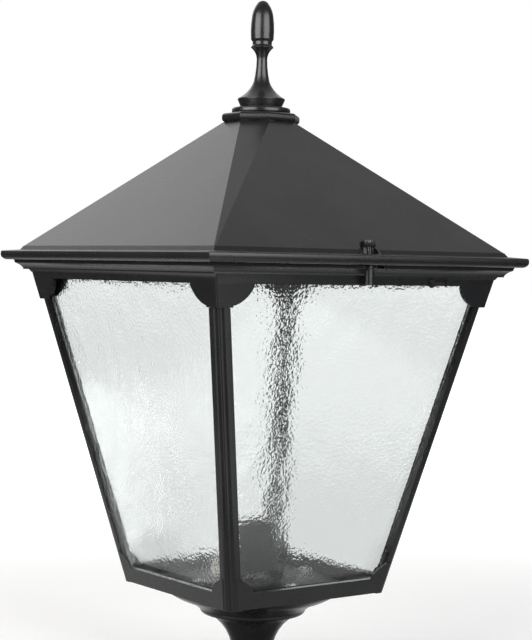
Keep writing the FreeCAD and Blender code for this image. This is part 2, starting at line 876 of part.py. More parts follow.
def mirrored(corners):
    """The same outline on the other side of the middle, still the same way round."""
    flipped = [(-as_size(corner[0]), corner[1]) for corner in corners]
    bends = [corner[2] if len(corner) == 3 else None for corner in corners]
    flipped.reverse()
    bends.reverse()
    bends = bends[1:] + bends[:1]
    return [
        corner if bend is None else (corner[0], corner[1], bend)
        for corner, bend in zip(flipped, bends)
    ]


lobe_top_z = fascia_foot_z - d.bracket_nick
lobe_foot_z = bracket_foot_z + d.bracket_nick
lobe_right = [
    (face_half(bracket_foot_z) - d.post_edge, bracket_foot_z),
    (face_half(bracket_foot_z) + 4, bracket_foot_z),
    (face_half(bracket_foot_z) + 8, fascia_foot_z + 0.5),
    (face_half(fascia_foot_z) - d.bracket_width, fascia_foot_z + 0.5),
    (face_half(fascia_foot_z) - d.bracket_width, lobe_top_z, d.bracket_radius),
    (face_half(lobe_foot_z) - d.bracket_foot, lobe_foot_z),
    (face_half(lobe_foot_z) - d.bracket_foot + d.bracket_nick, lobe_foot_z),
    (face_half(bracket_foot_z) - d.bracket_foot + d.bracket_nick, bracket_foot_z),
]
frame_skirt = skirt("frame", bracket_foot_z, fascia_foot_z)
lobe_depth = 2 * (face_half(fascia_foot_z) - face_half(bracket_foot_z) + d.bracket_thick)
lobe_blocks = bracket_blocks(
    "frame", mirrored(lobe_right), lobe_right, lobe_depth, -face_half(bracket_foot_z)
)
frame_brackets = common("frame_brackets", frame_skirt, lobe_blocks)


def corner_prism(name, low_z, high_z, outline):
    """A bar that leans with the (-X, -Y) corner. The outline is drawn from that corner, x along one face and
    y along the other."""
    sections = []
    for tag, height in (("low", low_z), ("high", high_z)):
        corner = -face_half(height)
        places = [(corner + point[0], corner + point[1], *point[2:]) for point in outline]
        sections.append(free_sketch(f"{name}_{tag}", places, z=height))
    thing = doc.addObject("Part::Loft", name)
    thing.Sections = sections
    thing.Solid = True
    thing.Ruled = True
    return thing


fill_leg = d.tenon_chamfer - d.tenon_gap
corner_fill = corner_prism(
    "corner_fill", bracket_foot_z, fascia_foot_z + 0.5, [(0, 0), (fill_leg, 0), (0, fill_leg)]
)
corner_fills = four_corners("corner_fills", corner_fill, fuse)

lug_reach = -lock_y - face_half(fascia_foot_z) + d.wall / 2
lug_nose = cylinder("lug_nose", d.lug_radius, cornice_z - fascia_foot_z, 0, lock_y, fascia_foot_z)
lug_bar = block(
    "lug_bar",
    2 * d.lug_radius,
    lug_reach,
    cornice_z - fascia_foot_z,
    0,
    lock_y + lug_reach / 2,
    fascia_foot_z,
)

ear_x = (d.hinge_lug_width + d.hinge_ear_width) / 2 + d.hinge_side_gap
ear_top_z = cornice_z - d.roof_gap
ear_root_y = cornice_half - d.hinge_ear_depth / 2
ear_foot_z = cornice_z - d.hinge_ear_depth
hinge_ears = []
for tag, side in (("inner", -1), ("outer", 1)):
    middle = d.hinge_spread + side * ear_x
    ear_sketch = free_sketch(
        f"ear_{tag}_outline",
        [
            (ear_root_y, ear_top_z),
            (ear_root_y, ear_foot_z),
            (ear_root_y + 4, ear_foot_z),
            (hinge_y + 1.4, hinge_z - d.hinge_eye_radius + 0.3),
            (hinge_y - 4.0, ear_top_z),
        ],
        SIDEWAYS,
        x=middle,
    )
    ear_plate = extrude(f"ear_{tag}_plate", ear_sketch, d.hinge_ear_width)
    ear_eye = cylinder(
        f"ear_{tag}_eye", d.hinge_eye_radius, d.hinge_ear_width,
        middle - d.hinge_ear_width / 2, hinge_y, hinge_z, ALONG_X,
    )
    hinge_ears.append(fuse(f"ear_{tag}", [ear_plate, ear_eye]))
ear_pair = both_sides("ears", group("ear_pair", hinge_ears), (1, 0, 0), group)
frame_solid = fuse("frame_solid", [cornice, frame_brackets, corner_fills, lug_nose, lug_bar, ear_pair])

ear_bore = cylinder(
    "ear_bore", pin_hole_radius, 3 * d.hinge_lug_width,
    d.hinge_spread - 1.5 * d.hinge_lug_width, hinge_y, hinge_z, ALONG_X,
)
ear_bores = both_sides("ear_bores", ear_bore, (1, 0, 0), group)
lock_hole = cylinder(
    "lock_hole",
    d.lock_thread_radius + d.lock_clearance,
    2 * (cornice_z - fascia_foot_z),
    0,
    lock_y,
    fascia_foot_z - 5,
)

# The post screws lie square to the leaning posts, through the tenon into the solid corner of the frame.
screw_z = bracket_foot_z + d.post_screw_rise
lean = taper.value
corner_half = face_half(screw_z).value
outward = FreeCAD.Vector(-1, -1, -2 * lean).normalize()
post_way = FreeCAD.Vector(-lean, -lean, 1).normalize()
seat_point = FreeCAD.Vector(-corner_half, -corner_half, screw_z.value)
inner_depth = d.post_inner.value / math.sqrt(2) * math.cos(math.atan(lean * math.sqrt(2)))
screw_turn = FreeCAD.Rotation(FreeCAD.Vector(0, 0, 1), outward)


def along_screw(name, radius, start, length):
    """A round bar on the post screw's axis, from a distance inside the corner's edge, pointing outwards."""
    thing = doc.addObject("Part::Cylinder", name)
    bind(thing, "Radius", radius)
    bind(thing, "Height", length)
    foot = seat_point - outward * as_size(start).value
    thing.Placement = FreeCAD.Placement(foot, screw_turn)
    return thing


screw_hole = along_screw(
    "post_screw_hole", d.post_screw_radius + d.running_gap, inner_depth + 1, d.post_screw_length + 1.5
)
screw_holes = four_corners("post_screw_holes", screw_hole, group)
catch_z = fascia_foot_z + d.catch_rise


def catch_bar(name, radius, start, length):
    """A round bar on the catch screw's axis."""
    return face_bar(name, radius, length, d.catch_place, catch_z, start)


catch_tapping = catch_bar(
    "catch_tapping", d.catch_screw_radius + d.running_gap, -d.catch_screw_length, 2 * d.catch_screw_length
)
clip_tapping = face_bar(
    "clip_tapping",
    d.clip_screw_radius + d.running_gap,
    d.clip_screw_length + d.running_gap,
    d.clip_spread,
    clip_screw_z,
    clip_seat,
)
clip_tapping_pair = both_sides("clip_tapping_pair", clip_tapping, (1, 0, 0), group)
clip_tappings = four_faces("clip_tappings", clip_tapping_pair, group)
arris = corner_prism(
    "frame_arris",
    bracket_foot_z - 1,
    fascia_top_z,
    [(-1, -1), (d.frame_arris, -1), (d.frame_arris, 0, -d.frame_arris), (0, d.frame_arris), (-1, d.frame_arris)],
)
arrises = four_corners("frame_arrises", arris, group)
top_frame = node(
    cut(
        "frame_casting",
        frame_solid,
        [ear_bores, lock_hole, screw_holes, clip_tappings, catch_tapping, arrises],
    ),
    "top_frame",
)

screw_shank = along_screw("post_screw_shank", d.post_screw_radius, inner_depth, d.post_screw_length)
screw_head = along_screw(
    "post_screw_head",
    d.post_screw_head_radius,
    inner_depth + d.post_screw_head_height.value + 0.05,
    d.post_screw_head_height + 0.0,
)
post_screw = fuse("post_screw", [screw_shank, screw_head])
post_screws = node(four_corners("post_screw_set", post_screw, group), "post_screws")


# Seal on the frame's ledge. It stands in the hollow of the roof's rim, and is notched for the lock's boss and
# the hinge's ears.

seal_ring = moulding(
    "seal_ring",
    [
        (seal_inner, seal_z),
        (seal_outer - d.seal_lean, seal_z),
        (seal_outer, cornice_z),
        (seal_outer, recess_z - d.seal_top_gap),
        (seal_inner, recess_z - d.seal_top_gap),
    ],
    (seal_inner + seal_outer) / 2,
)
lock_notch = block(
    "seal_lock_notch",
    2 * (d.pocket_radius + d.pocket_wall + d.seal_notch_gap),
    3 * d.seal_thick,
    2 * (recess_z - seal_z),
    0,
    -seal_inner,
    seal_z - 1,
)
ear_notch = block(
    "seal_ear_notch",
    2 * ear_x + d.hinge_ear_width + 2 * d.seal_notch_gap,
    3 * d.seal_thick,
    d.seal_drop + 1,
    d.hinge_spread,
    seal_inner,
    seal_z - 1,
)
ear_notches = both_sides("seal_ear_notches", ear_notch, (1, 0, 0), group)
roof_seal = node(cut("seal_strip", seal_ring, [lock_notch, ear_notches]), "roof_seal")

# Catch plate on the front fascia

catch_outline = free_sketch(
    "catch_outline",
    [
        (0, -d.catch_bar_height / 2),
        (d.catch_length, -d.catch_bar_height / 2),
        (d.catch_length, d.catch_bar_height / 2),
        (0, d.catch_bar_height / 2),
    ],
    FACE_TURN,
    x=d.catch_place,
    y=-face_half(catch_z),
    z=catch_z,
)
catch_strip = extrude("catch_strip", catch_outline, d.catch_thick, both_ways=False)
catch_tab_outline = free_sketch(
    "catch_tab_outline",
    [
        (d.catch_length - d.catch_tab_length, -d.catch_bar_height / 2),
        (d.catch_length - d.catch_tab_length / 2, -d.catch_bar_height / 2),
        (d.catch_length, d.catch_bar_height / 2 + d.catch_tab_slant),
        (d.catch_length - d.catch_tab_length / 2, d.catch_bar_height / 2 + d.catch_tab_slant),
    ],
    FACE_TURN,
    x=d.catch_place,
    y=-face_half(catch_z),
    z=catch_z,
)
catch_tab = extrude("catch_tab", catch_tab_outline, 2 * d.catch_thick, both_ways=False)
catch_disc = catch_bar("catch_disc", d.catch_radius, 0, d.catch_thick)
catch_way = catch_bar(
    "catch_way", d.catch_screw_radius + d.running_gap, -d.catch_thick, 3 * d.catch_thick
)
catch_solid = fuse("catch_solid", [catch_strip, catch_tab, catch_disc])
catch_plate = node(cut("catch_plate_bored", catch_solid, [catch_way]), "catch_plate")
catch_shank = catch_bar(
    "catch_shank",
    d.catch_screw_radius,
    d.catch_thick + 0.5 - d.catch_screw_length,
    d.catch_screw_length,
)
catch_head = catch_bar(
    "catch_head", d.catch_screw_head_radius, d.catch_thick, d.catch_screw_head_height
)
catch_screw = node(fuse("catch_screw_solid", [catch_shank, catch_head]), "catch_screw")


# Cage

reed_end = d.post_chamfer - d.post_recess
reed_middle = d.post_chamfer / 2
post_outline = [
    (d.post_edge, d.post_recess),
    (d.post_edge, d.wall),
    (d.post_inner - d.wall, d.wall),
    (d.wall, d.post_inner - d.wall),
    (d.wall, d.post_edge),
    (d.post_recess, d.post_edge),
    (d.post_recess, reed_end, d.reed_radius),
    (reed_middle, reed_middle, d.reed_radius),
    (reed_end, d.post_recess),
]
post = corner_prism(
    "post", d.cage_foot_z - d.post_foot_drop, bracket_foot_z - d.tenon_gap, post_outline
)
tenon_face = d.bracket_thick + d.tenon_gap
tenon_outline = [
    (d.post_edge, tenon_face),
    (d.post_edge, d.wall),
    (d.post_inner - d.wall, d.wall),
    (d.wall, d.post_inner - d.wall),
    (d.wall, d.post_edge),
    (tenon_face, d.post_edge),
    (tenon_face, d.tenon_chamfer - tenon_face),
    (d.tenon_chamfer - tenon_face, tenon_face),
]
tenon = corner_prism(
    "tenon", bracket_foot_z - d.tenon_gap - 1, fascia_foot_z - d.tenon_gap, tenon_outline
)
posts = four_corners("posts", fuse("post_whole", [post, tenon]), fuse)

rail = moulding(
    "rail",
    [
        (d.flange_half, d.cage_foot_z),
        (d.cage_foot_half, d.cage_foot_z),
        (face_half(rail_top_z), rail_top_z),
        (face_half(rail_top_z) - d.wall, rail_top_z),
        (face_half(ledge_z) - d.wall, ledge_z),
        (ledge_half, ledge_z),
        (ledge_half, floor_z),
        (d.flange_half, floor_z),
    ],
    ledge_half,
)
bracket_top_z = rail_top_z + d.rail_bracket_rise
rail_lobe_top_z = bracket_top_z - d.rail_bracket_nick
rail_lobe_foot_z = rail_top_z + d.rail_bracket_nick
rail_lobe = [
    (face_half(rail_top_z) - d.rail_bracket_width, rail_top_z - 1),
    (face_half(rail_top_z) + 4, rail_top_z - 1),
    (face_half(bracket_top_z) + 4, bracket_top_z),
    (face_half(bracket_top_z) - d.post_edge, bracket_top_z),
    (face_half(rail_lobe_top_z) - d.post_edge - 1, rail_lobe_top_z, d.rail_bracket_radius),
    (face_half(rail_lobe_foot_z) - d.rail_bracket_width, rail_lobe_foot_z),
]
rail_skirt = skirt("rail_band", rail_top_z - 1, bracket_top_z)
rail_lobe_depth = 2 * (face_half(bracket_top_z) - face_half(rail_top_z) + d.bracket_thick)
rail_blocks = bracket_blocks(
    "rail", mirrored(rail_lobe), rail_lobe, rail_lobe_depth, -face_half(rail_top_z)
)
rail_brackets = common("rail_brackets", rail_skirt, rail_blocks)
corner_trim = corner_prism(
    "corner_trim",
    d.cage_foot_z - 4,
    bracket_top_z + 4,
    [(-4, -4), (d.post_chamfer + 4, -4), (-4, d.post_chamfer + 4)],
)
corner_trims = four_corners("corner_trims", corner_trim, fuse)
rail_ring = cut("rail_ring", fuse("rail_whole", [rail, rail_brackets]), [corner_trims])
cage_solid = fuse("cage_solid", [rail_ring, posts])


def at_bolts(name, radius, height, z):
    """Four round bars on the bolt circle."""
    bar = cylinder(name, radius, height, 0, -bolt_circle, z)
    return four_faces(f"{name}_set", bar, group)


cage_bolt_holes = at_bolts("cage_bolt_hole", d.bolt_hole_radius, 3 * d.flange_thick, d.cage_foot_z - 4)
earth_seat = cylinder(
    "earth_seat", d.small_screw_radius + d.running_gap, 3 * d.flange_thick,
    -d.earth_place, -d.earth_place, d.cage_foot_z - d.flange_thick,
)
cage = node(cut("cage_casting", cage_solid, [cage_bolt_holes, screw_holes, earth_seat]), "cage")


# Hinge pins and their clips

pin_start = d.hinge_spread + ear_x + d.hinge_ear_width / 2
pin_end = d.hinge_spread - ear_x - d.hinge_ear_width / 2 - d.hinge_pin_tail
groove_end = d.hinge_spread - ear_x - d.hinge_ear_width / 2 - d.running_gap
for name, side in (("right", 1), ("left", -1)):
    pin_low = pin_end if side > 0 else -pin_start
    head_low = pin_start if side > 0 else -pin_start - d.hinge_pin_head_height
    pin_bar = cylinder(
        f"pin_{name}_bar", d.hinge_pin_radius, pin_start - pin_end, pin_low, hinge_y, hinge_z, ALONG_X
    )
    pin_head = cylinder(
        f"pin_{name}_head", d.hinge_pin_head_radius, d.hinge_pin_head_height,
        head_low, hinge_y, hinge_z, ALONG_X,
    )
    node(fuse(f"pin_{name}", [pin_bar, pin_head]), f"hinge_pin_{name}")
clip_bar = cylinder(
    "clip_ring_bar", d.clip_ring_radius, d.clip_ring_thick,
    groove_end - d.clip_ring_thick, hinge_y, hinge_z, ALONG_X,
)
clip_hole = cylinder(
    "clip_ring_hole", d.hinge_pin_radius + d.running_gap, 5 * d.clip_ring_thick,
    groove_end - 3 * d.clip_ring_thick, hinge_y, hinge_z, ALONG_X,
)
clip_mouth = block(
    "clip_ring_mouth",
    5 * d.clip_ring_thick,
    d.clip_ring_radius,
    1.4 * d.hinge_pin_radius,
    groove_end - d.clip_ring_thick / 2,
    hinge_y + d.clip_ring_radius,
    hinge_z - 0.7 * d.hinge_pin_radius,
)
clip_ring = cut("clip_ring", clip_bar, [clip_hole, clip_mouth])
hinge_clips = node(both_sides("clip_rings", clip_ring, (1, 0, 0), group), "hinge_clips")


# Panes

pane_face = d.wall + d.pane_gap


def pane_section(z):
    """The -Y pane's section at a height."""
    half = face_half(z) - d.pane_side
    near = -(face_half(z) - pane_face)
    return box_corners(-half, half, near, near + d.pane_thick)


pane_front = loft(
    "pane_glass", (pane_section(pane_low_z), pane_low_z), (pane_section(pane_high_z), pane_high_z)
)
node(pane_front, "pane_front")
pane_back = node(mirror("pane_back_glass", pane_front, (0, 1, 0)), "pane_back")
pane_left = node(mirror("pane_left_glass", pane_front, (1, -1, 0)), "pane_left")
pane_right = node(mirror("pane_right_glass", pane_left, (1, 0, 0)), "pane_right")

clip_low_z = pane_high_z - d.clip_hold


def inside(z, depth):
    """A point of the -Y face's section, a distance in from the face."""
    return (-(face_half(z) - depth), z)


clip_back = pane_face + d.pane_thick + d.pane_gap
clip_sketch = free_sketch(
    "clip_outline",
    [
        inside(clip_top_z, d.wall),
        inside(clip_top_z, d.wall + d.clip_thick),
        inside(clip_step_z + d.clip_thick, d.wall + d.clip_thick),
        inside(clip_step_z + d.clip_thick, clip_back + d.clip_thick),
        inside(clip_low_z, clip_back + d.clip_thick),
        inside(clip_low_z, clip_back),
        inside(clip_step_z, clip_back),
        inside(clip_step_z, d.wall),
    ],
    SIDEWAYS,
    x=d.clip_spread,
)
clip_strip = extrude("clip_strip", clip_sketch, d.clip_width)
clip_screw_way = face_bar(
    "clip_screw_way",
    d.clip_screw_radius + d.running_gap,
    4 * d.clip_thick,
    d.clip_spread,
    clip_screw_z,
    clip_seat - 2 * d.clip_thick,
)
clip_bored = cut("clip_bored", clip_strip, [clip_screw_way])
clip_pair = both_sides("clip_pair", clip_bored, (1, 0, 0), group)
pane_clips = node(four_faces("clip_set", clip_pair, group), "pane_clips")

clip_shank = face_bar(
    "clip_shank",
    d.clip_screw_radius,
    d.clip_screw_length + d.clip_screw_head_height / 2,
    d.clip_spread,
    clip_screw_z,
    clip_seat - d.clip_screw_head_height / 2,
)
clip_head = face_bar(
    "clip_head",
    d.clip_screw_head_radius,
    d.clip_screw_head_height,
    d.clip_spread,
    clip_screw_z,
    clip_seat - d.clip_screw_head_height,
)
clip_screw = fuse("clip_screw", [clip_shank, clip_head])
clip_screw_pair = both_sides("clip_screw_pair", clip_screw, (1, 0, 0), group)
pane_clip_screws = node(four_faces("clip_screw_set", clip_screw_pair, group), "pane_clip_screws")


# Tray

tray_lip_z = tray_z + d.tray_lip_height
tray_flare = (tray_lip_half - tray_half) / d.tray_lip_height
tray_outer = loft("tray_outer", (square(tray_half), tray_z), (square(tray_lip_half), tray_lip_z))
tray_inner = loft(
    "tray_inner",
    (square(tray_half + tray_flare * d.tray_thick - d.tray_thick), tray_top_z),
    (square(tray_lip_half + tray_flare - d.tray_thick), tray_lip_z + 1),
)
tray_pan = cut("tray_pan", tray_outer, [tray_inner])
tray_bolt_holes = at_bolts("tray_bolt_hole", d.bolt_hole_radius, 5 * d.tray_thick, tray_z - d.tray_thick)
tray_cable_hole = cylinder(
    "tray_cable_hole", d.grommet_hole, 5 * d.tray_thick, 0, 0, tray_z - 2 * d.tray_thick
)
holder_screw_hole = cylinder(
    "holder_screw_hole", d.small_screw_radius + d.running_gap, 5 * d.tray_thick,
    d.holder_screw_spread, 0, tray_z - 2 * d.tray_thick,
)
holder_screw_holes = both_sides("holder_screw_holes", holder_screw_hole, (1, 0, 0), group)
earth_hole = cylinder(
    "earth_hole", d.small_screw_radius + d.running_gap, 5 * d.tray_thick,
    -d.earth_place, -d.earth_place, tray_z - 2 * d.tray_thick,
)
tray = node(
    cut(
        "tray_sheet",
        tray_pan,
        [tray_bolt_holes, tray_cable_hole, holder_screw_holes, earth_hole],
    ),
    "tray",
)


# Base neck and its bolts

neck_top_z = d.cage_foot_z - d.seat_gap
neck_body = turned(
    "neck_body",
    [
        (d.socket_radius, 0),
        (d.collar_radius, 0),
        (d.collar_radius, d.collar_height, -d.trumpet_radius),
        (d.trumpet_top_radius, d.trumpet_top_z),
        (d.lip_radius - 5, d.trumpet_top_z + 1.2, 4.0),
        (d.lip_radius, d.lip_z),
        (d.lip_radius + 1, d.lip_z + 0.6, -40.0),
        (dish_radius - 17.2, d.lip_z + 10.4, 60.0),
        (dish_radius - 2.2, neck_top_z - d.dish_edge, 5.0),
        (dish_radius, neck_top_z - 1.5),
        (dish_radius, neck_top_z),
        (dish_inner, neck_top_z),
        (dish_inner - 2, neck_top_z - 9),
        (d.trumpet_top_radius - 7, d.trumpet_top_z + 6),
        (d.cable_way_radius + 15, d.trumpet_top_z - 4),
        (d.cable_way_radius, d.socket_depth + 8),
        (d.cable_way_radius, d.socket_depth),
        (d.socket_radius, d.socket_depth),
    ],
)
neck_bolt_holes = at_bolts(
    "neck_bolt_hole", d.bolt_radius + d.running_gap, d.bolt_reach + 3, neck_top_z - d.bolt_reach - 1
)


def set_screw_bars(name, radius, start, length):
    """Three level bars round the socket, pointing outwards."""
    bars = []
    for number in range(3):
        angle = math.radians(90 + 120 * number)
        bar = doc.addObject("Part::Cylinder", f"{name}_{number + 1}")
        way = FreeCAD.Vector(math.cos(angle), math.sin(angle), 0)
        bar.Placement = FreeCAD.Placement(
            FreeCAD.Vector(0, 0, 0), FreeCAD.Rotation(FreeCAD.Vector(0, 0, 1), way)
        )
        bind(bar, "Radius", radius)
        bind(bar, "Height", length)
        place(bar, start * math.cos(angle), start * math.sin(angle), d.set_screw_z)
        bars.append(bar)
    return bars


set_screw_holes = set_screw_bars(
    "set_screw_hole", d.set_screw_radius + d.running_gap, d.socket_radius - 3, 12
)
base_neck = node(cut("neck_casting", neck_body, [neck_bolt_holes, *set_screw_holes]), "base_neck")

set_screw_start = d.socket_radius + 0.3
grubs = set_screw_bars("set_screw_bar", d.set_screw_radius, set_screw_start, d.set_screw_length)
keys = set_screw_bars(
    "set_screw_key",
    d.set_screw_key / 2,
    set_screw_start + d.set_screw_length - d.set_screw_key_depth,
    2 * d.set_screw_key_depth,
)
set_screws = node(
    group(
        "set_screw_set",
        [cut(f"set_screw_{number + 1}", grubs[number], [keys[number]]) for number in range(3)],
    ),
    "set_screws",
)

bolt_head_z = tray_top_z + d.bolt_washer_thick
bolt_tip_z = neck_top_z - d.bolt_reach
bolt_shank = cylinder("bolt_shank", d.bolt_radius, bolt_head_z - bolt_tip_z, 0, -bolt_circle, bolt_tip_z)
bolt_hex = prism("bolt_hex", d.bolt_flats, d.bolt_head, 0, -bolt_circle, bolt_head_z)
base_bolt = fuse("base_bolt", [bolt_shank, bolt_hex])
base_bolts = node(four_faces("base_bolt_set", base_bolt, group), "base_bolts")
bolt_washer_bar = cylinder(
    "bolt_washer_bar", d.bolt_washer_radius, d.bolt_washer_thick, 0, -bolt_circle, tray_top_z
)
bolt_washer_hole = cylinder(
    "bolt_washer_hole", d.bolt_radius + d.running_gap, 3 * d.bolt_washer_thick,
    0, -bolt_circle, tray_top_z - d.bolt_washer_thick,
)
bolt_washer = cut("bolt_washer", bolt_washer_bar, [bolt_washer_hole])
base_bolt_washers = node(four_faces("bolt_washer_set", bolt_washer, group), "base_bolt_washers")


# Lamp holder on its bracket

bracket_z = tray_top_z
bracket_top = bracket_z + d.bracket_rise
bracket_sketch = free_sketch(
    "holder_bracket_outline",
    [
        (-d.bracket_span_half, bracket_z),
        (-d.bracket_top_half, bracket_z),
        (-d.bracket_top_half, bracket_top - d.bracket_sheet),
        (d.bracket_top_half, bracket_top - d.bracket_sheet),
        (d.bracket_top_half, bracket_z),
        (d.bracket_span_half, bracket_z),
        (d.bracket_span_half, bracket_z + d.bracket_sheet),
        (d.bracket_top_half + d.bracket_sheet, bracket_z + d.bracket_sheet),
        (d.bracket_top_half + d.bracket_sheet, bracket_top),
        (-d.bracket_top_half - d.bracket_sheet, bracket_top),
        (-d.bracket_top_half - d.bracket_sheet, bracket_z + d.bracket_sheet),
        (-d.bracket_span_half, bracket_z + d.bracket_sheet),
    ],
    UPRIGHT,
)
bracket_strip = extrude("holder_bracket_strip", bracket_sketch, d.bracket_strip)
bracket_screw_hole = cylinder(
    "bracket_screw_hole", d.small_screw_radius + d.running_gap, 3 * d.bracket_sheet,
    d.holder_screw_spread, 0, bracket_z - d.bracket_sheet,
)
bracket_screw_holes = both_sides("bracket_screw_holes", bracket_screw_hole, (1, 0, 0), group)
bracket_wire_hole = cylinder(
    "bracket_wire_hole", d.grommet_bore, 3 * d.bracket_sheet, 0, 0, bracket_top - 2 * d.bracket_sheet
)
lamp_holder_bracket = node(
    cut("holder_bracket", bracket_strip, [bracket_screw_holes, bracket_wire_hole]), "lamp_holder_bracket"
)

holder_z = bracket_top
holder_top_z = holder_z + d.holder_height
holder_inner = d.holder_radius - d.holder_wall
lamp_holder_shell = node(
    turned(
        "holder_cup",
        [
            (d.grommet_bore, holder_z),
            (d.holder_radius - 2, holder_z),
            (d.holder_radius, holder_z + 2),
            (d.holder_radius, holder_top_z - 3, 3.0),
            (d.holder_radius - 3, holder_top_z),
            (d.holder_mouth_radius, holder_top_z),
            (d.holder_mouth_radius, holder_top_z - d.holder_wall),
            (holder_inner, holder_top_z - d.holder_wall),
            (holder_inner, holder_z + d.holder_floor),
            (d.grommet_bore, holder_z + d.holder_floor),
        ],
    ),
    "lamp_holder_shell",
)
block_z = holder_z + d.holder_floor
block_top_z = block_z + d.contact_block_height
lamp_contact_block = node(
    turned(
        "contact_block",
        [
            (d.contact_radius + d.running_gap, block_z),
            (holder_inner - 0.2, block_z),
            (holder_inner - 0.2, block_top_z),
            (d.contact_radius + d.running_gap, block_top_z),
        ],
    ),
    "lamp_contact_block",
)
lamp_screw_shell = node(
    turned(
        "shell_ring",
        [
            (d.shell_radius, block_top_z),
            (d.shell_radius + 3 * d.shell_thick, block_top_z),
            (d.shell_radius + 3 * d.shell_thick, block_top_z + d.shell_thick),
            (d.shell_radius + d.shell_thick, block_top_z + d.shell_thick),
            (d.shell_radius + d.shell_thick, block_top_z + d.shell_height),
            (d.shell_radius, block_top_z + d.shell_height),
        ],
    ),
    "lamp_screw_shell",
)
lamp_centre_contact = node(
    cylinder(
        "contact_stud", d.contact_radius, d.contact_block_height + d.contact_height, 0, 0, block_z
    ),
    "lamp_centre_contact",
)


def small_screw(name, x, y, z, length):
    """A round-headed screw that comes down through a hole to its seat."""
    shank = cylinder(f"{name}_shank", d.small_screw_radius, length, x, y, z - length)
    head = cylinder(f"{name}_head", d.small_screw_head_radius, d.small_screw_head_height, x, y, z)
    return fuse(name, [shank, head])


holder_screw = small_screw(
    "holder_screw", d.holder_screw_spread, 0, bracket_z + d.bracket_sheet, d.small_screw_length
)
holder_screws = node(both_sides("holder_screw_set", holder_screw, (1, 0, 0), group), "holder_screws")
earth_screw = node(
    small_screw(
        "earth_screw_solid", -d.earth_place, -d.earth_place, tray_top_z, d.earth_screw_length
    ),
    "earth_screw",
)


# Terminal block and cable grommet

terminal_body = block(
    "terminal_body", d.terminal_length, d.terminal_depth, d.terminal_height, 0, d.terminal_inset - d.terminal_depth, tray_top_z
)
terminal_top_z = tray_top_z + d.terminal_height
terminal_y = d.terminal_inset - d.terminal_depth
terminal_wells = []
terminal_pieces = []
for side in (-1, 1):
    for row in (-1, 1):
        x = side * d.terminal_pitch / 2
        y = terminal_y + row * d.terminal_depth / 4
        tag = f"{'left' if side < 0 else 'right'}_{'near' if row < 0 else 'far'}"
        terminal_wells.append(
            cylinder(
                f"terminal_well_{tag}", d.small_screw_radius + 0.6, d.terminal_height,
                x, y, terminal_top_z - d.terminal_recess,
            )
        )
        terminal_wells.append(
            cylinder(
                f"terminal_bore_{tag}", d.small_screw_radius / 2 + d.running_gap, d.terminal_height,
                x, y, terminal_top_z - d.terminal_recess - d.small_screw_length,
            )
        )
        shank = cylinder(
            f"terminal_shank_{tag}", d.small_screw_radius / 2, d.small_screw_length,
            x, y, terminal_top_z - d.terminal_recess - d.small_screw_length,
        )
        head = cylinder(
            f"terminal_head_{tag}", d.small_screw_radius, d.terminal_recess / 2,
            x, y, terminal_top_z - d.terminal_recess,
        )
        terminal_pieces.append(fuse(f"terminal_screw_{tag}", [shank, head]))
terminal_block = node(cut("terminal_block_solid", terminal_body, terminal_wells), "terminal_block")
terminal_screws = node(group("terminal_screw_set", terminal_pieces), "terminal_screws")

grommet_low_z = tray_z - d.grommet_lip
grommet_high_z = tray_top_z + d.grommet_lip
groove_radius = d.grommet_hole - d.running_gap
cable_grommet = node(
    turned(
        "grommet_ring",
        [
            (d.grommet_bore, grommet_low_z),
            (d.grommet_radius, grommet_low_z),
            (d.grommet_radius, tray_z - d.running_gap),
            (groove_radius, tray_z - d.running_gap),
            (groove_radius, tray_top_z + d.running_gap),
            (d.grommet_radius, tray_top_z + d.running_gap),
            (d.grommet_radius, grommet_high_z),
            (d.grommet_bore, grommet_high_z),
        ],
    ),
    "cable_grommet",
)


# Checks and export

doc.recompute()
for thing in doc.Objects:
    if "Invalid" in thing.State or "Error" in thing.State:
        raise RuntimeError(f"{thing.Name} failed to build: {thing.State}")
for thing in NODES:
    if thing.Shape.isNull() or not thing.Shape.isValid():
        raise RuntimeError(f"{thing.Label} has no valid shape")
os.makedirs("parts", exist_ok=True)
for thing in NODES:
    thing.Shape.exportStep(f"parts/{thing.Label}.step")
    box = thing.Shape.BoundBox
    print(
        f"{thing.Label}: {len(thing.Shape.Solids)} solid(s), {thing.Shape.Volume / 1000:.1f} cm3, "
        f"x {box.XMin:.1f}..{box.XMax:.1f}, y {box.YMin:.1f}..{box.YMax:.1f}, z {box.ZMin:.1f}..{box.ZMax:.1f}"
    )
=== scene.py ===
import math

import bmesh
import bpy
from mathutils import Matrix, Vector, noise


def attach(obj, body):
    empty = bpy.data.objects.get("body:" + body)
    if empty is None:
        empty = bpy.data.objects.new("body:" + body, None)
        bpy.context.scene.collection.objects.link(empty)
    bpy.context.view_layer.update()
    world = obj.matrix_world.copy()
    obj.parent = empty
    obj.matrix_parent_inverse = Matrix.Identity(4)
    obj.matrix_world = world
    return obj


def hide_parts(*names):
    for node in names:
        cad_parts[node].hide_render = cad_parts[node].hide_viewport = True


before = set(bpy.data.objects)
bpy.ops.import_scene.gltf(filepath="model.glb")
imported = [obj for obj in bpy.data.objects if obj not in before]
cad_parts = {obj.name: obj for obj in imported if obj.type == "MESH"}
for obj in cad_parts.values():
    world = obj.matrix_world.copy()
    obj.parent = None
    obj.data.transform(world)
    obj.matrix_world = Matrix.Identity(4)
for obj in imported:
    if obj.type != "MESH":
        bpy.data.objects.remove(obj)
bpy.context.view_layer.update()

# Roof
# One hollow aluminium casting, powder coated satin black: a pyramid with widening hip chamfers over a moulded
# rim, an eight-sided cap, a pocket for the lock screw at the front and two hinge lugs at the back.
# The rim is a section carried round a square, the hips are planed off and the pocket is bored.

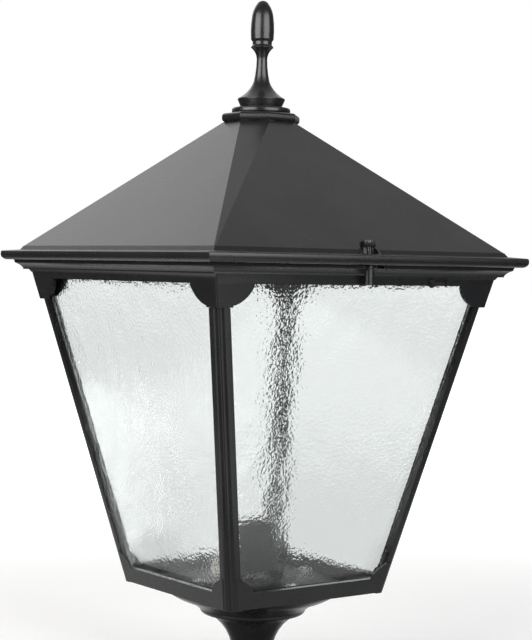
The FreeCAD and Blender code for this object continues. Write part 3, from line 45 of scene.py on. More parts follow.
RIM_FOOT = 441.0
RIM = [
    (176.4, RIM_FOOT), (182.6, RIM_FOOT), (182.6, 445.8), (190.6, 445.8), (190.6, RIM_FOOT),
    (195.2, RIM_FOOT, 6.0), (199.9, 446.4), (199.7, 449.2, 1.6), (198.3, 450.6), (184.4, 451.9),
    (181.6, 456.0), (176.4, 456.0),
]
ROOF_FOOT = (181.6, 456.0)
ROOF_TOP = (37.1, 588.6)
HIP_FOOT_CUT = 1.0
HIP_TOP_CUT = 21.7
ROOF_WALL = 3.5
CAP_HALF = 38.9
CAP_HEIGHT = 9.4
CAP_ROUND = 3.6
TOP_PLATE = 36
LOCK_Y = -182.0
POCKET_RADIUS = 9.6
POCKET_BOSS = 12.8
POCKET_FLOOR = 451.9
NECK_HOLE = 2.5
THREAD_ROOM = 3.4
THREAD_ROOM_TOP = 447.0
STUD_HOLE = 4.05
HINGE = Vector((0, 208, 444))
HINGE_EYE = 6.2
PIN_HOLE = 3.05
LUG_NEAR = 103
LUG_FAR = 117


def all_of(bm):
    """Every vertex, edge and face of a form."""
    return bm.verts[:] + bm.edges[:] + bm.faces[:]


def verts_of(parts):
    """The vertices among what an operator gives back."""
    return [part for part in parts if isinstance(part, bmesh.types.BMVert)]


def section(bm, points, closed=True):
    """Draws points (x, z) in the XZ plane as edges. A third number bends the edge that leaves a point to that
    radius. It is positive where the bend's centre is on the left of the way round."""
    last = bm.verts.new((points[0][0], 0, points[0][1]))
    ends = points[1:] + points[:1] if closed else points[1:]
    for here, there in zip(points, ends):
        if len(here) == 3:
            way = Vector((there[0] - here[0], there[1] - here[1]))
            radius = abs(here[2])
            side = 1 if here[2] > 0 else -1
            rise = math.sqrt(radius**2 - way.length**2 / 4)
            turn = 2 * math.asin(way.length / 2 / radius) * side
            middle = Vector((here[0], here[1])) + way / 2 + side * rise * way.orthogonal().normalized()
            steps = max(3, round(abs(math.degrees(turn)) / 9))
            spun = bmesh.ops.spin(
                bm, geom=[last], cent=(middle.x, 0, middle.y), axis=(0, -1, 0), angle=turn, steps=steps
            )
            last = verts_of(spun["geom_last"])[0]
        else:
            new = bm.verts.new((there[0], 0, there[1]))
            bm.edges.new((last, new))
            last = new
    bmesh.ops.remove_doubles(bm, verts=bm.verts, dist=0.001)
    return bm


def square_moulding(points):
    """A closed section carried round a square with mitred corners."""
    bm = section(bmesh.new(), points)
    bmesh.ops.scale(bm, vec=(math.sqrt(2), 1, 1), verts=bm.verts)
    bmesh.ops.spin(
        bm, geom=bm.edges[:], cent=(0, 0, 0), axis=(0, 0, 1), angle=2 * math.pi, steps=4, use_merge=True
    )
    bmesh.ops.rotate(bm, matrix=Matrix.Rotation(math.radians(45), 3, "Z"), verts=bm.verts)
    return bm


def bar(radius, low, high, sides=48, rounding=0.0):
    """A round bar between two points."""
    low = Vector(low)
    high = Vector(high)
    lean = (high - low).to_track_quat("Z", "Y").to_matrix().to_4x4()
    bm = bmesh.new()
    bmesh.ops.create_cone(
        bm, cap_ends=True, segments=sides, radius1=radius, radius2=radius, depth=(high - low).length,
        matrix=Matrix.Translation((low + high) / 2) @ lean,
    )
    if rounding:
        rims = [edge for edge in bm.edges if any(len(face.verts) > 4 for face in edge.link_faces)]
        bmesh.ops.bevel(
            bm, geom=rims, offset=rounding, segments=4, affect="EDGES", profile=0.5, material=-1
        )
    return bm


def at_lock(radius, low, high, **rest):
    """A round bar on the lock screw's axis between two heights."""
    return bar(radius, (0, LOCK_Y, low), (0, LOCK_Y, high), **rest)


def along_hinge(radius, start, end):
    """A round bar on the hinge's axis between two distances from the middle."""
    return bar(radius, HINGE + Vector((start, 0, 0)), HINGE + Vector((end, 0, 0)))


def brick(low, high):
    """A rectangular block between two corners."""
    low = Vector(low)
    high = Vector(high)
    bm = bmesh.new()
    bmesh.ops.create_cube(
        bm, size=1, matrix=Matrix.Translation((low + high) / 2) @ Matrix.Diagonal((*(high - low), 1))
    )
    return bm


def slice_off(bm, place, outward):
    """Planes away what lies outside of a plane, and gives the edges of the cut."""
    cut = bmesh.ops.bisect_plane(bm, geom=all_of(bm), plane_co=place, plane_no=outward, clear_outer=True)
    return [part for part in cut["geom_cut"] if isinstance(part, bmesh.types.BMEdge)]


def gather(*forms):
    """One mesh from several forms that overlap where they are welded or cast together."""
    whole = bmesh.new()
    for form in forms:
        mesh = bpy.data.meshes.new("form")
        bmesh.ops.recalc_face_normals(form, faces=form.faces)
        form.to_mesh(mesh)
        form.free()
        whole.from_mesh(mesh)
        bpy.data.meshes.remove(mesh)
    return whole


def both_sides(bm):
    """Adds the mirror image on the other side of the middle."""
    copy = bmesh.ops.duplicate(bm, geom=all_of(bm))
    bmesh.ops.scale(bm, vec=(-1, 1, 1), verts=verts_of(copy["geom"]))
    bmesh.ops.recalc_face_normals(bm, faces=bm.faces)
    return bm


def settle(name, bm):
    """A form in millimetres becomes an object in metres."""
    bmesh.ops.scale(bm, vec=(0.001, 0.001, 0.001), verts=bm.verts)
    mesh = bpy.data.meshes.new(name)
    bm.to_mesh(mesh)
    bm.free()
    obj = bpy.data.objects.new(name, mesh)
    bpy.context.collection.objects.link(obj)
    return obj


def bore(obj, *forms):
    """Cuts forms out of an object, and joins the object's own overlapping forms into one solid."""
    cutter = settle("cutter", gather(*forms))
    cut = obj.modifiers.new("bore", "BOOLEAN")
    cut.object = cutter
    cut.solver = "EXACT"
    cut.use_self = True
    finished = bpy.data.meshes.new_from_object(obj.evaluated_get(bpy.context.evaluated_depsgraph_get()))
    obj.modifiers.clear()
    rough = obj.data
    obj.data = finished
    spent = cutter.data
    bpy.data.objects.remove(cutter)
    bpy.data.meshes.remove(spent)
    bpy.data.meshes.remove(rough)
    finished.name = obj.name


def dress(obj, material, slot, body, *nodes, rounding=0.4, sharp=32):
    """Softens a piece's edges, gives it its finish and lets it ride on its body."""
    mesh = obj.data
    mesh.materials.clear()
    mesh.materials.append(material)
    mesh.shade_smooth()
    mesh.set_sharp_from_angle(angle=math.radians(sharp))
    if rounding:
        bevel = obj.modifiers.new("soft_edges", "BEVEL")
        bevel.width = rounding / 1000
        bevel.segments = 2
        bevel.limit_method = "ANGLE"
        bevel.angle_limit = math.radians(sharp)
        bevel.harden_normals = True
        bevel.use_clamp_overlap = True
    if nodes:
        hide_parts(*nodes)
    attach(obj, body)


def cast_surface():
    """Fine grain and uneven gloss of a powder coat over a casting, with a little dust where it looks up."""
    group = bpy.data.node_groups.new("cast_surface", "ShaderNodeTree")
    face = group.interface
    for name, kind, value in (
        ("Dark", "NodeSocketColor", (0.02, 0.02, 0.02, 1)),
        ("Light", "NodeSocketColor", (0.03, 0.03, 0.03, 1)),
        ("Gloss", "NodeSocketFloat", 0.4),
        ("Matt", "NodeSocketFloat", 0.5),
        ("Grain", "NodeSocketFloat", 900.0),
        ("Relief", "NodeSocketFloat", 0.1),
        ("Dust", "NodeSocketFloat", 0.1),
    ):
        socket = face.new_socket(name, in_out="INPUT", socket_type=kind)
        socket.default_value = value
    face.new_socket("Color", in_out="OUTPUT", socket_type="NodeSocketColor")
    face.new_socket("Roughness", in_out="OUTPUT", socket_type="NodeSocketFloat")
    face.new_socket("Normal", in_out="OUTPUT", socket_type="NodeSocketVector")
    nodes = group.nodes
    link = group.links.new
    start = nodes.new("NodeGroupInput")
    end = nodes.new("NodeGroupOutput")
    place = nodes.new("ShaderNodeTexCoord")
    broad = nodes.new("ShaderNodeTexNoise")
    broad.inputs["Scale"].default_value = 14
    broad.inputs["Detail"].default_value = 5
    broad.inputs["Roughness"].default_value = 0.6
    fine = nodes.new("ShaderNodeTexNoise")
    fine.inputs["Detail"].default_value = 3
    link(place.outputs["Object"], broad.inputs["Vector"])
    link(place.outputs["Object"], fine.inputs["Vector"])
    link(start.outputs["Grain"], fine.inputs["Scale"])
    spread = nodes.new("ShaderNodeMapRange")
    spread.inputs["From Min"].default_value = 0.3
    spread.inputs["From Max"].default_value = 0.7
    link(broad.outputs["Fac"], spread.inputs["Value"])
    colour = nodes.new("ShaderNodeMix")
    colour.data_type = "RGBA"
    link(spread.outputs["Result"], colour.inputs["Factor"])
    link(start.outputs["Dark"], colour.inputs["A"])
    link(start.outputs["Light"], colour.inputs["B"])
    looking = nodes.new("ShaderNodeNewGeometry")
    split = nodes.new("ShaderNodeSeparateXYZ")
    link(looking.outputs["Normal"], split.inputs["Vector"])
    upward = nodes.new("ShaderNodeMapRange")
    upward.inputs["From Min"].default_value = 0.5
    upward.inputs["From Max"].default_value = 1.0
    link(split.outputs["Z"], upward.inputs["Value"])
    patch = nodes.new("ShaderNodeMath")
    patch.operation = "MULTIPLY"
    link(upward.outputs["Result"], patch.inputs[0])
    link(spread.outputs["Result"], patch.inputs[1])
    amount = nodes.new("ShaderNodeMath")
    amount.operation = "MULTIPLY"
    link(patch.outputs["Value"], amount.inputs[0])
    link(start.outputs["Dust"], amount.inputs[1])
    dusty = nodes.new("ShaderNodeMix")
    dusty.data_type = "RGBA"
    dusty.inputs["B"].default_value = (0.16, 0.15, 0.14, 1)
    link(amount.outputs["Value"], dusty.inputs["Factor"])
    link(colour.outputs["Result"], dusty.inputs["A"])
    link(dusty.outputs["Result"], end.inputs["Color"])
    gloss = nodes.new("ShaderNodeMix")
    link(spread.outputs["Result"], gloss.inputs["Factor"])
    link(start.outputs["Gloss"], gloss.inputs["A"])
    link(start.outputs["Matt"], gloss.inputs["B"])
    link(gloss.outputs["Result"], end.inputs["Roughness"])
    bump = nodes.new("ShaderNodeBump")
    bump.inputs["Distance"].default_value = 0.0002
    link(fine.outputs["Fac"], bump.inputs["Height"])
    link(start.outputs["Relief"], bump.inputs["Strength"])
    link(bump.outputs["Normal"], end.inputs["Normal"])
    return group


CAST_SURFACE = cast_surface()


def coated(name, **values):
    """A finish with its own values for the cast surface."""
    material = bpy.data.materials.new(name)
    material.use_nodes = True
    shader = material.node_tree.nodes["Principled BSDF"]
    surface = material.node_tree.nodes.new("ShaderNodeGroup")
    surface.node_tree = CAST_SURFACE
    for key, value in values.items():
        surface.inputs[key].default_value = value
    link = material.node_tree.links.new
    link(surface.outputs["Color"], shader.inputs["Base Color"])
    link(surface.outputs["Roughness"], shader.inputs["Roughness"])
    link(surface.outputs["Normal"], shader.inputs["Normal"])
    return material


black_coat = coated(
    "black_coat", Dark=(0.0060, 0.0063, 0.0070, 1), Light=(0.0095, 0.0098, 0.0106, 1), Gloss=0.26, Matt=0.29,
    Grain=1100, Relief=0.10, Dust=0.04,
)

rise = ROOF_TOP[1] - ROOF_FOOT[1]
hip_foot = 2 * ROOF_FOOT[0] - HIP_FOOT_CUT
hip_top = 2 * ROOF_TOP[0] - HIP_TOP_CUT
hip_lean = (hip_foot - hip_top) / rise
pyramid = bmesh.new()
bmesh.ops.create_cone(
    pyramid, cap_ends=True, segments=4, radius1=ROOF_FOOT[0] * math.sqrt(2), depth=rise,
    radius2=ROOF_TOP[0] * math.sqrt(2),
    matrix=Matrix.Translation((0, 0, ROOF_FOOT[1] + rise / 2)) @ Matrix.Rotation(math.radians(45), 4, "Z"),
)
for quarter in range(4):
    turn = Matrix.Rotation(math.radians(90 * quarter), 3, "Z")
    hip = slice_off(
        pyramid, turn @ Vector((hip_foot / 2, hip_foot / 2, ROOF_FOOT[1])), turn @ Vector((1, 1, hip_lean))
    )
    bmesh.ops.contextual_create(pyramid, geom=hip)
ends = [face for face in pyramid.faces if abs(face.normal.z) > 0.99]
bmesh.ops.recalc_face_normals(pyramid, faces=pyramid.faces)
bmesh.ops.delete(pyramid, geom=ends, context="FACES_ONLY")
bmesh.ops.solidify(pyramid, geom=pyramid.faces[:], thickness=ROOF_WALL)

cap = bmesh.new()
cap_corner = CAP_HALF / math.cos(math.pi / 8)
bmesh.ops.create_cone(
    cap, cap_ends=True, segments=8, radius1=cap_corner, radius2=cap_corner, depth=CAP_HEIGHT,
    matrix=Matrix.Translation((0, 0, ROOF_TOP[1] + CAP_HEIGHT / 2)) @ Matrix.Rotation(math.pi / 8, 4, "Z"),
)
level = [edge for edge in cap.edges if abs(edge.verts[0].co.z - edge.verts[1].co.z) < 0.001]
bmesh.ops.bevel(cap, geom=level, offset=CAP_ROUND, segments=5, affect="EDGES", profile=0.5, material=-1)
top_plate = bar(TOP_PLATE, (0, 0, ROOF_TOP[1] - ROOF_WALL), (0, 0, ROOF_TOP[1] + 0.3), sides=8)

pocket_boss = at_lock(POCKET_BOSS, RIM_FOOT, 475)
slope_out = Vector((0, -rise, ROOF_FOOT[0] - ROOF_TOP[0])).normalized()
boss_top = slice_off(pocket_boss, (0, -ROOF_FOOT[0], ROOF_FOOT[1] - 0.02), slope_out)
bmesh.ops.contextual_create(pocket_boss, geom=boss_top)
hinge_lugs = both_sides(
    gather(
        brick((LUG_NEAR, 192.9, RIM_FOOT), (LUG_FAR, HINGE.y, 450.1)),
        along_hinge(HINGE_EYE, LUG_NEAR, LUG_FAR),
    )
)
roof = settle("roof_casting", gather(square_moulding(RIM), pyramid, cap, top_plate, pocket_boss, hinge_lugs))
bore(
    roof,
    at_lock(POCKET_RADIUS, POCKET_FLOOR, 480, sides=64),
    at_lock(NECK_HOLE, 440, POCKET_FLOOR + 1),
    at_lock(THREAD_ROOM, 440, THREAD_ROOM_TOP),
    bar(STUD_HOLE, (0, 0, 580), (0, 0, 600)),
    along_hinge(PIN_HOLE, 90, 130),
    along_hinge(PIN_HOLE, -90, -130),
)
dress(roof, black_coat, "coat", "roof_lid", "roof", rounding=0.5, sharp=20)

# Finial
# One turned aluminium ornament, coated like the roof: an acorn in its cup on a waisted stem, a dish and a
# round base disc. A steel stud, washer and nut hold it to the cap from inside the roof.

FINIAL = [
    (0, 598.0), (28.4, 598.0, 2.4), (30.8, 600.4), (30.8, 602.2, 2.4), (28.4, 604.6), (21.4, 605.1),
    (24.9, 613.0), (24.9, 614.2), (20.1, 617.3, -31.0), (8.4, 632.0, -105.0), (5.55, 655.1, -15.7),
    (11.9, 668.0), (11.5, 669.2), (10.2, 670.6), (10.2, 674.2), (11.9, 676.4, 113.0), (11.2, 701.5, 28.0),
    (5.6, 714.5, 7.0), (0, 717.3),
]


def turned(points, steps, closed=True):
    """A section turned about the vertical axis."""
    bm = section(bmesh.new(), points, closed)
    bmesh.ops.spin(
        bm, geom=bm.edges[:], cent=(0, 0, 0), axis=(0, 0, 1), angle=2 * math.pi, steps=steps, use_merge=True
    )
    bmesh.ops.remove_doubles(bm, verts=bm.verts, dist=0.001)
    bmesh.ops.recalc_face_normals(bm, faces=bm.faces)
    return bm


finial = settle("acorn_finial", turned(FINIAL, steps=80, closed=False))
dress(finial, black_coat, "coat", "roof_lid", "finial", rounding=0.35, sharp=28)


def metal(name, colour, roughness):
    """Bare metal with the uneven shine of a turned or pressed surface."""
    material = bpy.data.materials.new(name)
    material.use_nodes = True
    nodes = material.node_tree.nodes
    link = material.node_tree.links.new
    shader = nodes["Principled BSDF"]
    shader.inputs["Metallic"].default_value = 1
    place = nodes.new("ShaderNodeTexCoord")
    grainy = nodes.new("ShaderNodeTexNoise")
    grainy.inputs["Scale"].default_value = 500
    grainy.inputs["Detail"].default_value = 4
    link(place.outputs["Object"], grainy.inputs["Vector"])
    shine = nodes.new("ShaderNodeMapRange")
    shine.inputs["To Min"].default_value = roughness - 0.08
    shine.inputs["To Max"].default_value = roughness + 0.12
    link(grainy.outputs["Fac"], shine.inputs["Value"])
    link(shine.outputs["Result"], shader.inputs["Roughness"])
    tone = nodes.new("ShaderNodeMix")
    tone.data_type = "RGBA"
    tone.inputs["A"].default_value = (*[0.75 * part for part in colour], 1)
    tone.inputs["B"].default_value = (*colour, 1)
    link(grainy.outputs["Fac"], tone.inputs["Factor"])
    link(tone.outputs["Result"], shader.inputs["Base Color"])
    return material


def repaint(material, *names):
    """Gives frame pieces whose shape already serves a finish of their own."""
    for name in names:
        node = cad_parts[name]
        node.data.materials.clear()
        node.data.materials.append(material)


bright_steel = metal("bright_steel", (0.55, 0.55, 0.56), 0.32)
repaint(bright_steel, "finial_stud", "finial_washer", "finial_nut")

# Lock screw
# A round-headed black screw with a knurled edge and a slot, held captive in the roof's pocket. Its neck is
# thinner than its thread, and a dark washer lies under its head. It screws down into the top frame's nose.

SCREW_HEAD = [(0, 460.1), (5.3, 460.1), (5.65, 460.5), (5.65, 464.2, 1.5), (4.4, 465.5), (0, 465.5)]
SCREW_KNURLS = 28
KNURL_FROM = 5.5
KNURL_DEPTH = 0.04
SLOT_HALF = 0.7
SLOT_FLOOR = 463.7
SCREW_NECK = 2.3
SCREW_THREAD = 3.0
WASHER = [(2.35, 458.9), (6.3, 458.9), (6.6, 459.2), (6.6, 459.8), (6.3, 460.1), (2.35, 460.1)]

lock_head = turned(SCREW_HEAD, steps=56, closed=False)
for vert in lock_head.verts:
    if math.hypot(vert.co.x, vert.co.y) > KNURL_FROM:
        groove = 0.5 + 0.5 * math.cos(SCREW_KNURLS * math.atan2(vert.co.y, vert.co.x))
        vert.co.xy *= 1 - KNURL_DEPTH * groove
bmesh.ops.translate(lock_head, vec=(0, LOCK_Y, 0), verts=lock_head.verts)
screw_neck = at_lock(SCREW_NECK, 440.6, 461)
screw_thread = at_lock(SCREW_THREAD, 435.7, 441.2, rounding=0.5)
lock_screw = settle("lock_screw_turned", gather(lock_head, screw_neck, screw_thread))
bore(lock_screw, brick((-SLOT_HALF, LOCK_Y - 9, SLOT_FLOOR), (SLOT_HALF, LOCK_Y + 9, 468)))
screw_black = coated(
    "screw_black", Dark=(0.008, 0.008, 0.0085, 1), Light=(0.014, 0.014, 0.0145, 1), Gloss=0.2, Matt=0.28,
    Grain=1500, Relief=0.08, Dust=0.05,
)
dress(lock_screw, screw_black, "coat_small", "lock_turn", "lock_screw", rounding=0.15)

washer = turned(WASHER, steps=48)
bmesh.ops.translate(washer, vec=(0, LOCK_Y, 0), verts=washer.verts)
black_rubber = coated(
    "black_rubber", Dark=(0.006, 0.006, 0.006, 1), Light=(0.010, 0.010, 0.010, 1), Gloss=0.6, Matt=0.75,
    Grain=2500, Relief=0.2, Dust=0.0,
)
black_rubber.node_tree.nodes["Principled BSDF"].inputs["Specular IOR Level"].default_value = 0.12
dress(settle("lock_screw_washer", washer), black_rubber, "rubber", "lock_lift", "lock_washer", rounding=0.1)

# Top frame
# One casting under the roof's rim, coated like the roof: a coved cornice, a plain fascia and eight lobed
# brackets over the post tops, with a nose for the lock screw in front and four hinge ears at the back.
# A small black catch plate is screwed to its fascia, and steel pins with clip rings run through the ears.

FASCIA_FOOT = 421.3
FRAME_TOP = 440.7
CORNICE = [
    (166.65, FASCIA_FOOT), (173.65, FASCIA_FOOT), (175.3, 427.9), (177.4, 430.9), (181.9, 430.9),
    (181.9, 432.2, -12.0), (188.0, 437.5), (188.0, 437.8), (183.4, 437.8), (183.4, FRAME_TOP),
    (171.2, FRAME_TOP),
]
CAGE_HALF = 101.8
CAGE_FOOT = 99.2
FRAME_HALF = 175.4
FRAME_LEVEL = 428.8
TAPER = (FRAME_HALF - CAGE_HALF) / (FRAME_LEVEL - CAGE_FOOT)
BRACKET_FOOT = 399.3
BRACKET_DEPTH = 3.0
TOP_BRACKET = [
    (0, BRACKET_FOOT), (18.0, BRACKET_FOOT), (18.5, 401.3), (20.5, 401.3, -42.0), (43.5, 419.3),
    (43.5, FASCIA_FOOT + 0.4), (0, FASCIA_FOOT + 0.4),
]
CORNER_FILL = [(0, 0), (13.4, 0), (0, 13.4)]
ARRIS = 2.0
ARRIS_CUT = [(-1, -1), (ARRIS, -1), (ARRIS, 0, -ARRIS), (0, ARRIS), (-1, ARRIS)]
NOSE = 5.2
EAR = [(179.4, 440.4), (179.4, 423.6), (183.4, 423.6), (209.4, 438.1), (204.0, 440.4)]
EAR_NEAR = 97.6
EAR_WIDTH = 5
EAR_SPACING = 19.8


def face_half(z):
    """Half width of the lantern between its tapering faces at a height."""
    return CAGE_HALF + TAPER * (z - CAGE_FOOT)


def push(bm, faces, way):
    """Extrudes faces along a way."""
    pushed = bmesh.ops.extrude_face_region(bm, geom=faces)
    bmesh.ops.translate(bm, vec=way, verts=verts_of(pushed["geom"]))


def all_round(bm):
    """Repeats a form of one side on all four sides."""
    bmesh.ops.spin(
        bm, geom=all_of(bm), cent=(0, 0, 0), axis=(0, 0, 1), angle=1.5 * math.pi, steps=3, use_duplicate=True
    )
    return bm


def brackets(points):
    """Lobed plates on all four faces, drawn as (distance from the corner, height) on the front face."""
    bm = section(bmesh.new(), [(-point[0], *point[1:]) for point in points])
    bmesh.ops.contextual_create(bm, geom=bm.edges[:])
    for vert in bm.verts:
        vert.co.x += face_half(vert.co.z)
        vert.co.y = -face_half(vert.co.z)
    push(bm, bm.faces[:], (0, BRACKET_DEPTH, 0))
    bmesh.ops.recalc_face_normals(bm, faces=bm.faces)
    return all_round(both_sides(bm))


def corner_bars(points, low, high):
    """Bars that lean with the four corners. The section is (x, y) from the front left corner."""
    bm = section(bmesh.new(), points)
    face = bmesh.ops.contextual_create(bm, geom=bm.edges[:])["faces"]
    for vert in bm.verts:
        vert.co = Vector((vert.co.x - face_half(low), vert.co.z - face_half(low), low))
    shift = face_half(high) - face_half(low)
    push(bm, face, (-shift, -shift, high - low))
    bmesh.ops.recalc_face_normals(bm, faces=bm.faces)
    return all_round(bm)


corner_fill = corner_bars(CORNER_FILL, BRACKET_FOOT + 0.1, FASCIA_FOOT + 0.3)
nose = gather(
    at_lock(NOSE, FASCIA_FOOT, FRAME_TOP),
    brick((-NOSE, LOCK_Y, FASCIA_FOOT), (NOSE, LOCK_Y + 12, FRAME_TOP)),
)
ear = section(bmesh.new(), EAR)
bmesh.ops.contextual_create(ear, geom=ear.edges[:])
bmesh.ops.rotate(ear, matrix=Matrix.Rotation(math.radians(90), 3, "Z"), verts=ear.verts)
bmesh.ops.translate(ear, vec=(EAR_NEAR, 0, 0), verts=ear.verts)
push(ear, ear.faces[:], (EAR_WIDTH, 0, 0))
ear = gather(ear, along_hinge(HINGE_EYE, EAR_NEAR, EAR_NEAR + EAR_WIDTH))
copy = bmesh.ops.duplicate(ear, geom=all_of(ear))
bmesh.ops.translate(ear, vec=(EAR_SPACING, 0, 0), verts=verts_of(copy["geom"]))
both_sides(ear)
top_frame = settle(
    "top_frame_casting", gather(square_moulding(CORNICE), brackets(TOP_BRACKET), corner_fill, nose, ear)
)
bore(
    top_frame,
    corner_bars(ARRIS_CUT, BRACKET_FOOT - 1, 427.9),
    at_lock(THREAD_ROOM, 415, 445),
    along_hinge(PIN_HOLE, 90, 130),
    along_hinge(PIN_HOLE, -90, -130),
)
dress(top_frame, black_coat, "coat", "frame", "top_frame", rounding=0.4)
repaint(bright_steel, "hinge_pin_left", "hinge_pin_right", "hinge_clips", "post_screws")
repaint(screw_black, "catch_plate", "catch_screw")

# Seal
# A black rubber strip stands on the frame's outer ledge, in the hollow of the roof's rim, and shows as a dark
# line between rim and cornice. It is notched for the lock's boss and the hinge's ears.

SEAL = [(183.5, 437.8), (188.5, 437.8), (189.4, FRAME_TOP), (189.4, 445.3), (183.5, 445.3)]

seal = settle("roof_seal_strip", square_moulding(SEAL))
bore(
    seal,
    brick((-13.2, -201, 437), (13.2, -165, 455)),
    both_sides(brick((97.2, 165, 437), (122.8, 201, FRAME_TOP))),
)
dress(seal, black_rubber, "rubber", "frame", "roof_seal", rounding=0.3)

# Cage
# One casting, coated like the roof: four leaning posts with two half-round reeds on each corner, and a square
# bottom rail with a ledge, a floor flange and eight small lobed brackets.

REED = 4.5
POST = [
    (15.5, 1.0), (15.5, 7.0), (12.0, 7.0), (7.0, 12.0), (7.0, 15.5), (1.0, 15.5), (1.0, 9.9, REED),
    (5.45, 5.45, REED), (9.9, 1.0),
]
POST_TOP = BRACKET_FOOT - 0.2
TENON = [
    (15.5, 3.2), (15.5, 7.0), (12.0, 7.0), (7.0, 12.0), (7.0, 15.5), (3.2, 15.5), (3.2, 10.4), (10.4, 3.2),
]
RAIL = [
    (45.0, CAGE_FOOT), (CAGE_HALF, CAGE_FOOT), (face_half(115.5), 115.5), (face_half(115.5) - 7, 115.5),
    (face_half(106) - 7, 106), (89.6, 106), (89.6, 103.2), (45, 103.2),
]
RAIL_BEVEL = 10.9
LOW_BRACKET = [(0, 114.9), (29.5, 114.9), (29.5, 117.1, -20.0), (16.5, 129.5), (15.5, 131.1), (0, 131.1)]
BOLT_HOLE = 3.3
BOLT_Y = 68
SAME_PLACE = 0.01


def merge_points(obj):
    """Merges points that fall together where two faces lie in one plane, so that no splinters are left."""
    clean = bmesh.new()
    clean.from_mesh(obj.data)
    bmesh.ops.remove_doubles(clean, verts=clean.verts, dist=SAME_PLACE / 1000)
    clean.to_mesh(obj.data)
    clean.free()


post = corner_bars(POST, CAGE_FOOT - 1, POST_TOP)
tenon = corner_bars(TENON, POST_TOP - 1, FASCIA_FOOT - 0.2)
rail = gather(square_moulding(RAIL), brackets(LOW_BRACKET))
corner = Vector((RAIL_BEVEL - CAGE_HALF, -CAGE_HALF, CAGE_FOOT))
for quarter in range(4):
    turn = Matrix.Rotation(math.radians(90 * quarter), 3, "Z")
    bmesh.ops.edgenet_fill(rail, edges=slice_off(rail, turn @ corner, turn @ Vector((-1, -1, -2 * TAPER))))
bmesh.ops.recalc_face_normals(rail, faces=rail.faces)
cage = settle("cage_casting", gather(rail, post, tenon))
bore(
    cage,
    bar(BOLT_HOLE, (0, -BOLT_Y, 95), (0, -BOLT_Y, 108)),
    bar(BOLT_HOLE, (0, BOLT_Y, 95), (0, BOLT_Y, 108)),
)
merge_points(cage)
dress(cage, black_coat, "coat", "frame", "cage", rounding=0.35)

# Panes
# Four plates of clear water glass, 4 mm thick and cut to the taper. They stand behind the posts, with steel
# clips at their upper edge. The outer side is nearly flat, and the inner side rolls in soft waves, so that
# what is behind breaks up.

PANE_FOOT = 106.3
PANE_TOP = 432.0
PANE_FACE = 7.3
PANE_THICK = 4.0
PANE_SIDE = 14.0
WAVE_WIDTH = 22.0
WAVE_HEIGHT = 34.0
INNER_WAVE = 0.28
OUTER_WAVE = 0.12
OUTER_SET_IN = 0.1
EDGE_FADE = 12
PANE_CELLS = 150


def glass():
    """Clear glass with a slight green cast, and small dimples where the mesh says it is rolled."""
    material = bpy.data.materials.new("water_glass")
    material.use_nodes = True
    nodes = material.node_tree.nodes
    link = material.node_tree.links.new
    shader = nodes["Principled BSDF"]
    shader.inputs["Base Color"].default_value = (0.974, 0.998, 0.991, 1)
    shader.inputs["Roughness"].default_value = 0.0
    shader.inputs["IOR"].default_value = 1.5
    shader.inputs["Transmission Weight"].default_value = 1
    place = nodes.new("ShaderNodeTexCoord")
    dimples = nodes.new("ShaderNodeTexNoise")
    dimples.inputs["Scale"].default_value = 300
    dimples.inputs["Detail"].default_value = 1.5
    link(place.outputs["Object"], dimples.inputs["Vector"])
    rolled = nodes.new("ShaderNodeAttribute")
    rolled.attribute_name = "rolled"
    relief = nodes.new("ShaderNodeBump")
    relief.inputs["Distance"].default_value = 0.00032
    link(rolled.outputs["Fac"], relief.inputs["Strength"])
    link(dimples.outputs["Fac"], relief.inputs["Height"])
    link(relief.outputs["Normal"], shader.inputs["Normal"])
    return material


def wave(x, z, depth, seed):
    """How far the glass stands off its flat at a place."""
    broad = noise.noise(Vector((x / WAVE_WIDTH, z / WAVE_HEIGHT, seed)))
    fine = noise.noise(Vector((x / WAVE_WIDTH * 2.1, z / WAVE_HEIGHT * 2.1, seed + 7)))
    return depth * (broad + 0.3 * fine)


water_glass = glass()
for name, quarter, seed in (("front", 0, 3.1), ("right", 1, 11.7), ("back", 2, 19.4), ("left", 3, 27.9)):
    pane = bmesh.new()
    rolled = pane.verts.layers.float.new("rolled")
    bmesh.ops.create_grid(pane, x_segments=PANE_CELLS, y_segments=PANE_CELLS, size=1)
    pushed = bmesh.ops.extrude_face_region(pane, geom=pane.faces[:])
    inner = set(verts_of(pushed["geom"]))
    for vert in pane.verts:
        across, up, _ = vert.co
        z = PANE_FOOT + (PANE_TOP - PANE_FOOT) * (up + 1) / 2
        x = across * (face_half(z) - PANE_SIDE)
        y = PANE_FACE - face_half(z)
        free = min(1, EDGE_FADE * (1 - abs(across)), EDGE_FADE * (1 - abs(up)))
        if vert in inner:
            vert[rolled] = 1.0
            y += PANE_THICK - free * (0.5 * INNER_WAVE + wave(x, z, INNER_WAVE, seed))
        else:
            vert[rolled] = 0.0
            y += free * (OUTER_SET_IN + wave(x, z, OUTER_WAVE, seed + 50))
        vert.co = (x, y, z)
    bmesh.ops.rotate(pane, matrix=Matrix.Rotation(math.radians(90 * quarter), 3, "Z"), verts=pane.verts)
    bmesh.ops.recalc_face_normals(pane, faces=pane.faces)
    dress(settle(f"glass_{name}", pane), water_glass, "pane", "frame", f"pane_{name}", rounding=0, sharp=50)
repaint(bright_steel, "pane_clips", "pane_clip_screws")

# Glazing strips
# An aluminium strip with a sloped inner side, coated like the cage, runs down each post behind the edges of
# two panes and holds them. From outside its edge shows beside the posts, through the glass.

STRIP = [(11.5, 16.8), (11.5, 11.5), (16.8, 11.5), (16.8, 12.4), (12.4, 16.8)]

strips = settle("glazing_strips", gather(corner_bars(STRIP, PANE_FOOT, BRACKET_FOOT + 4)))
dress(strips, black_coat, "coat", "frame", rounding=0.3)

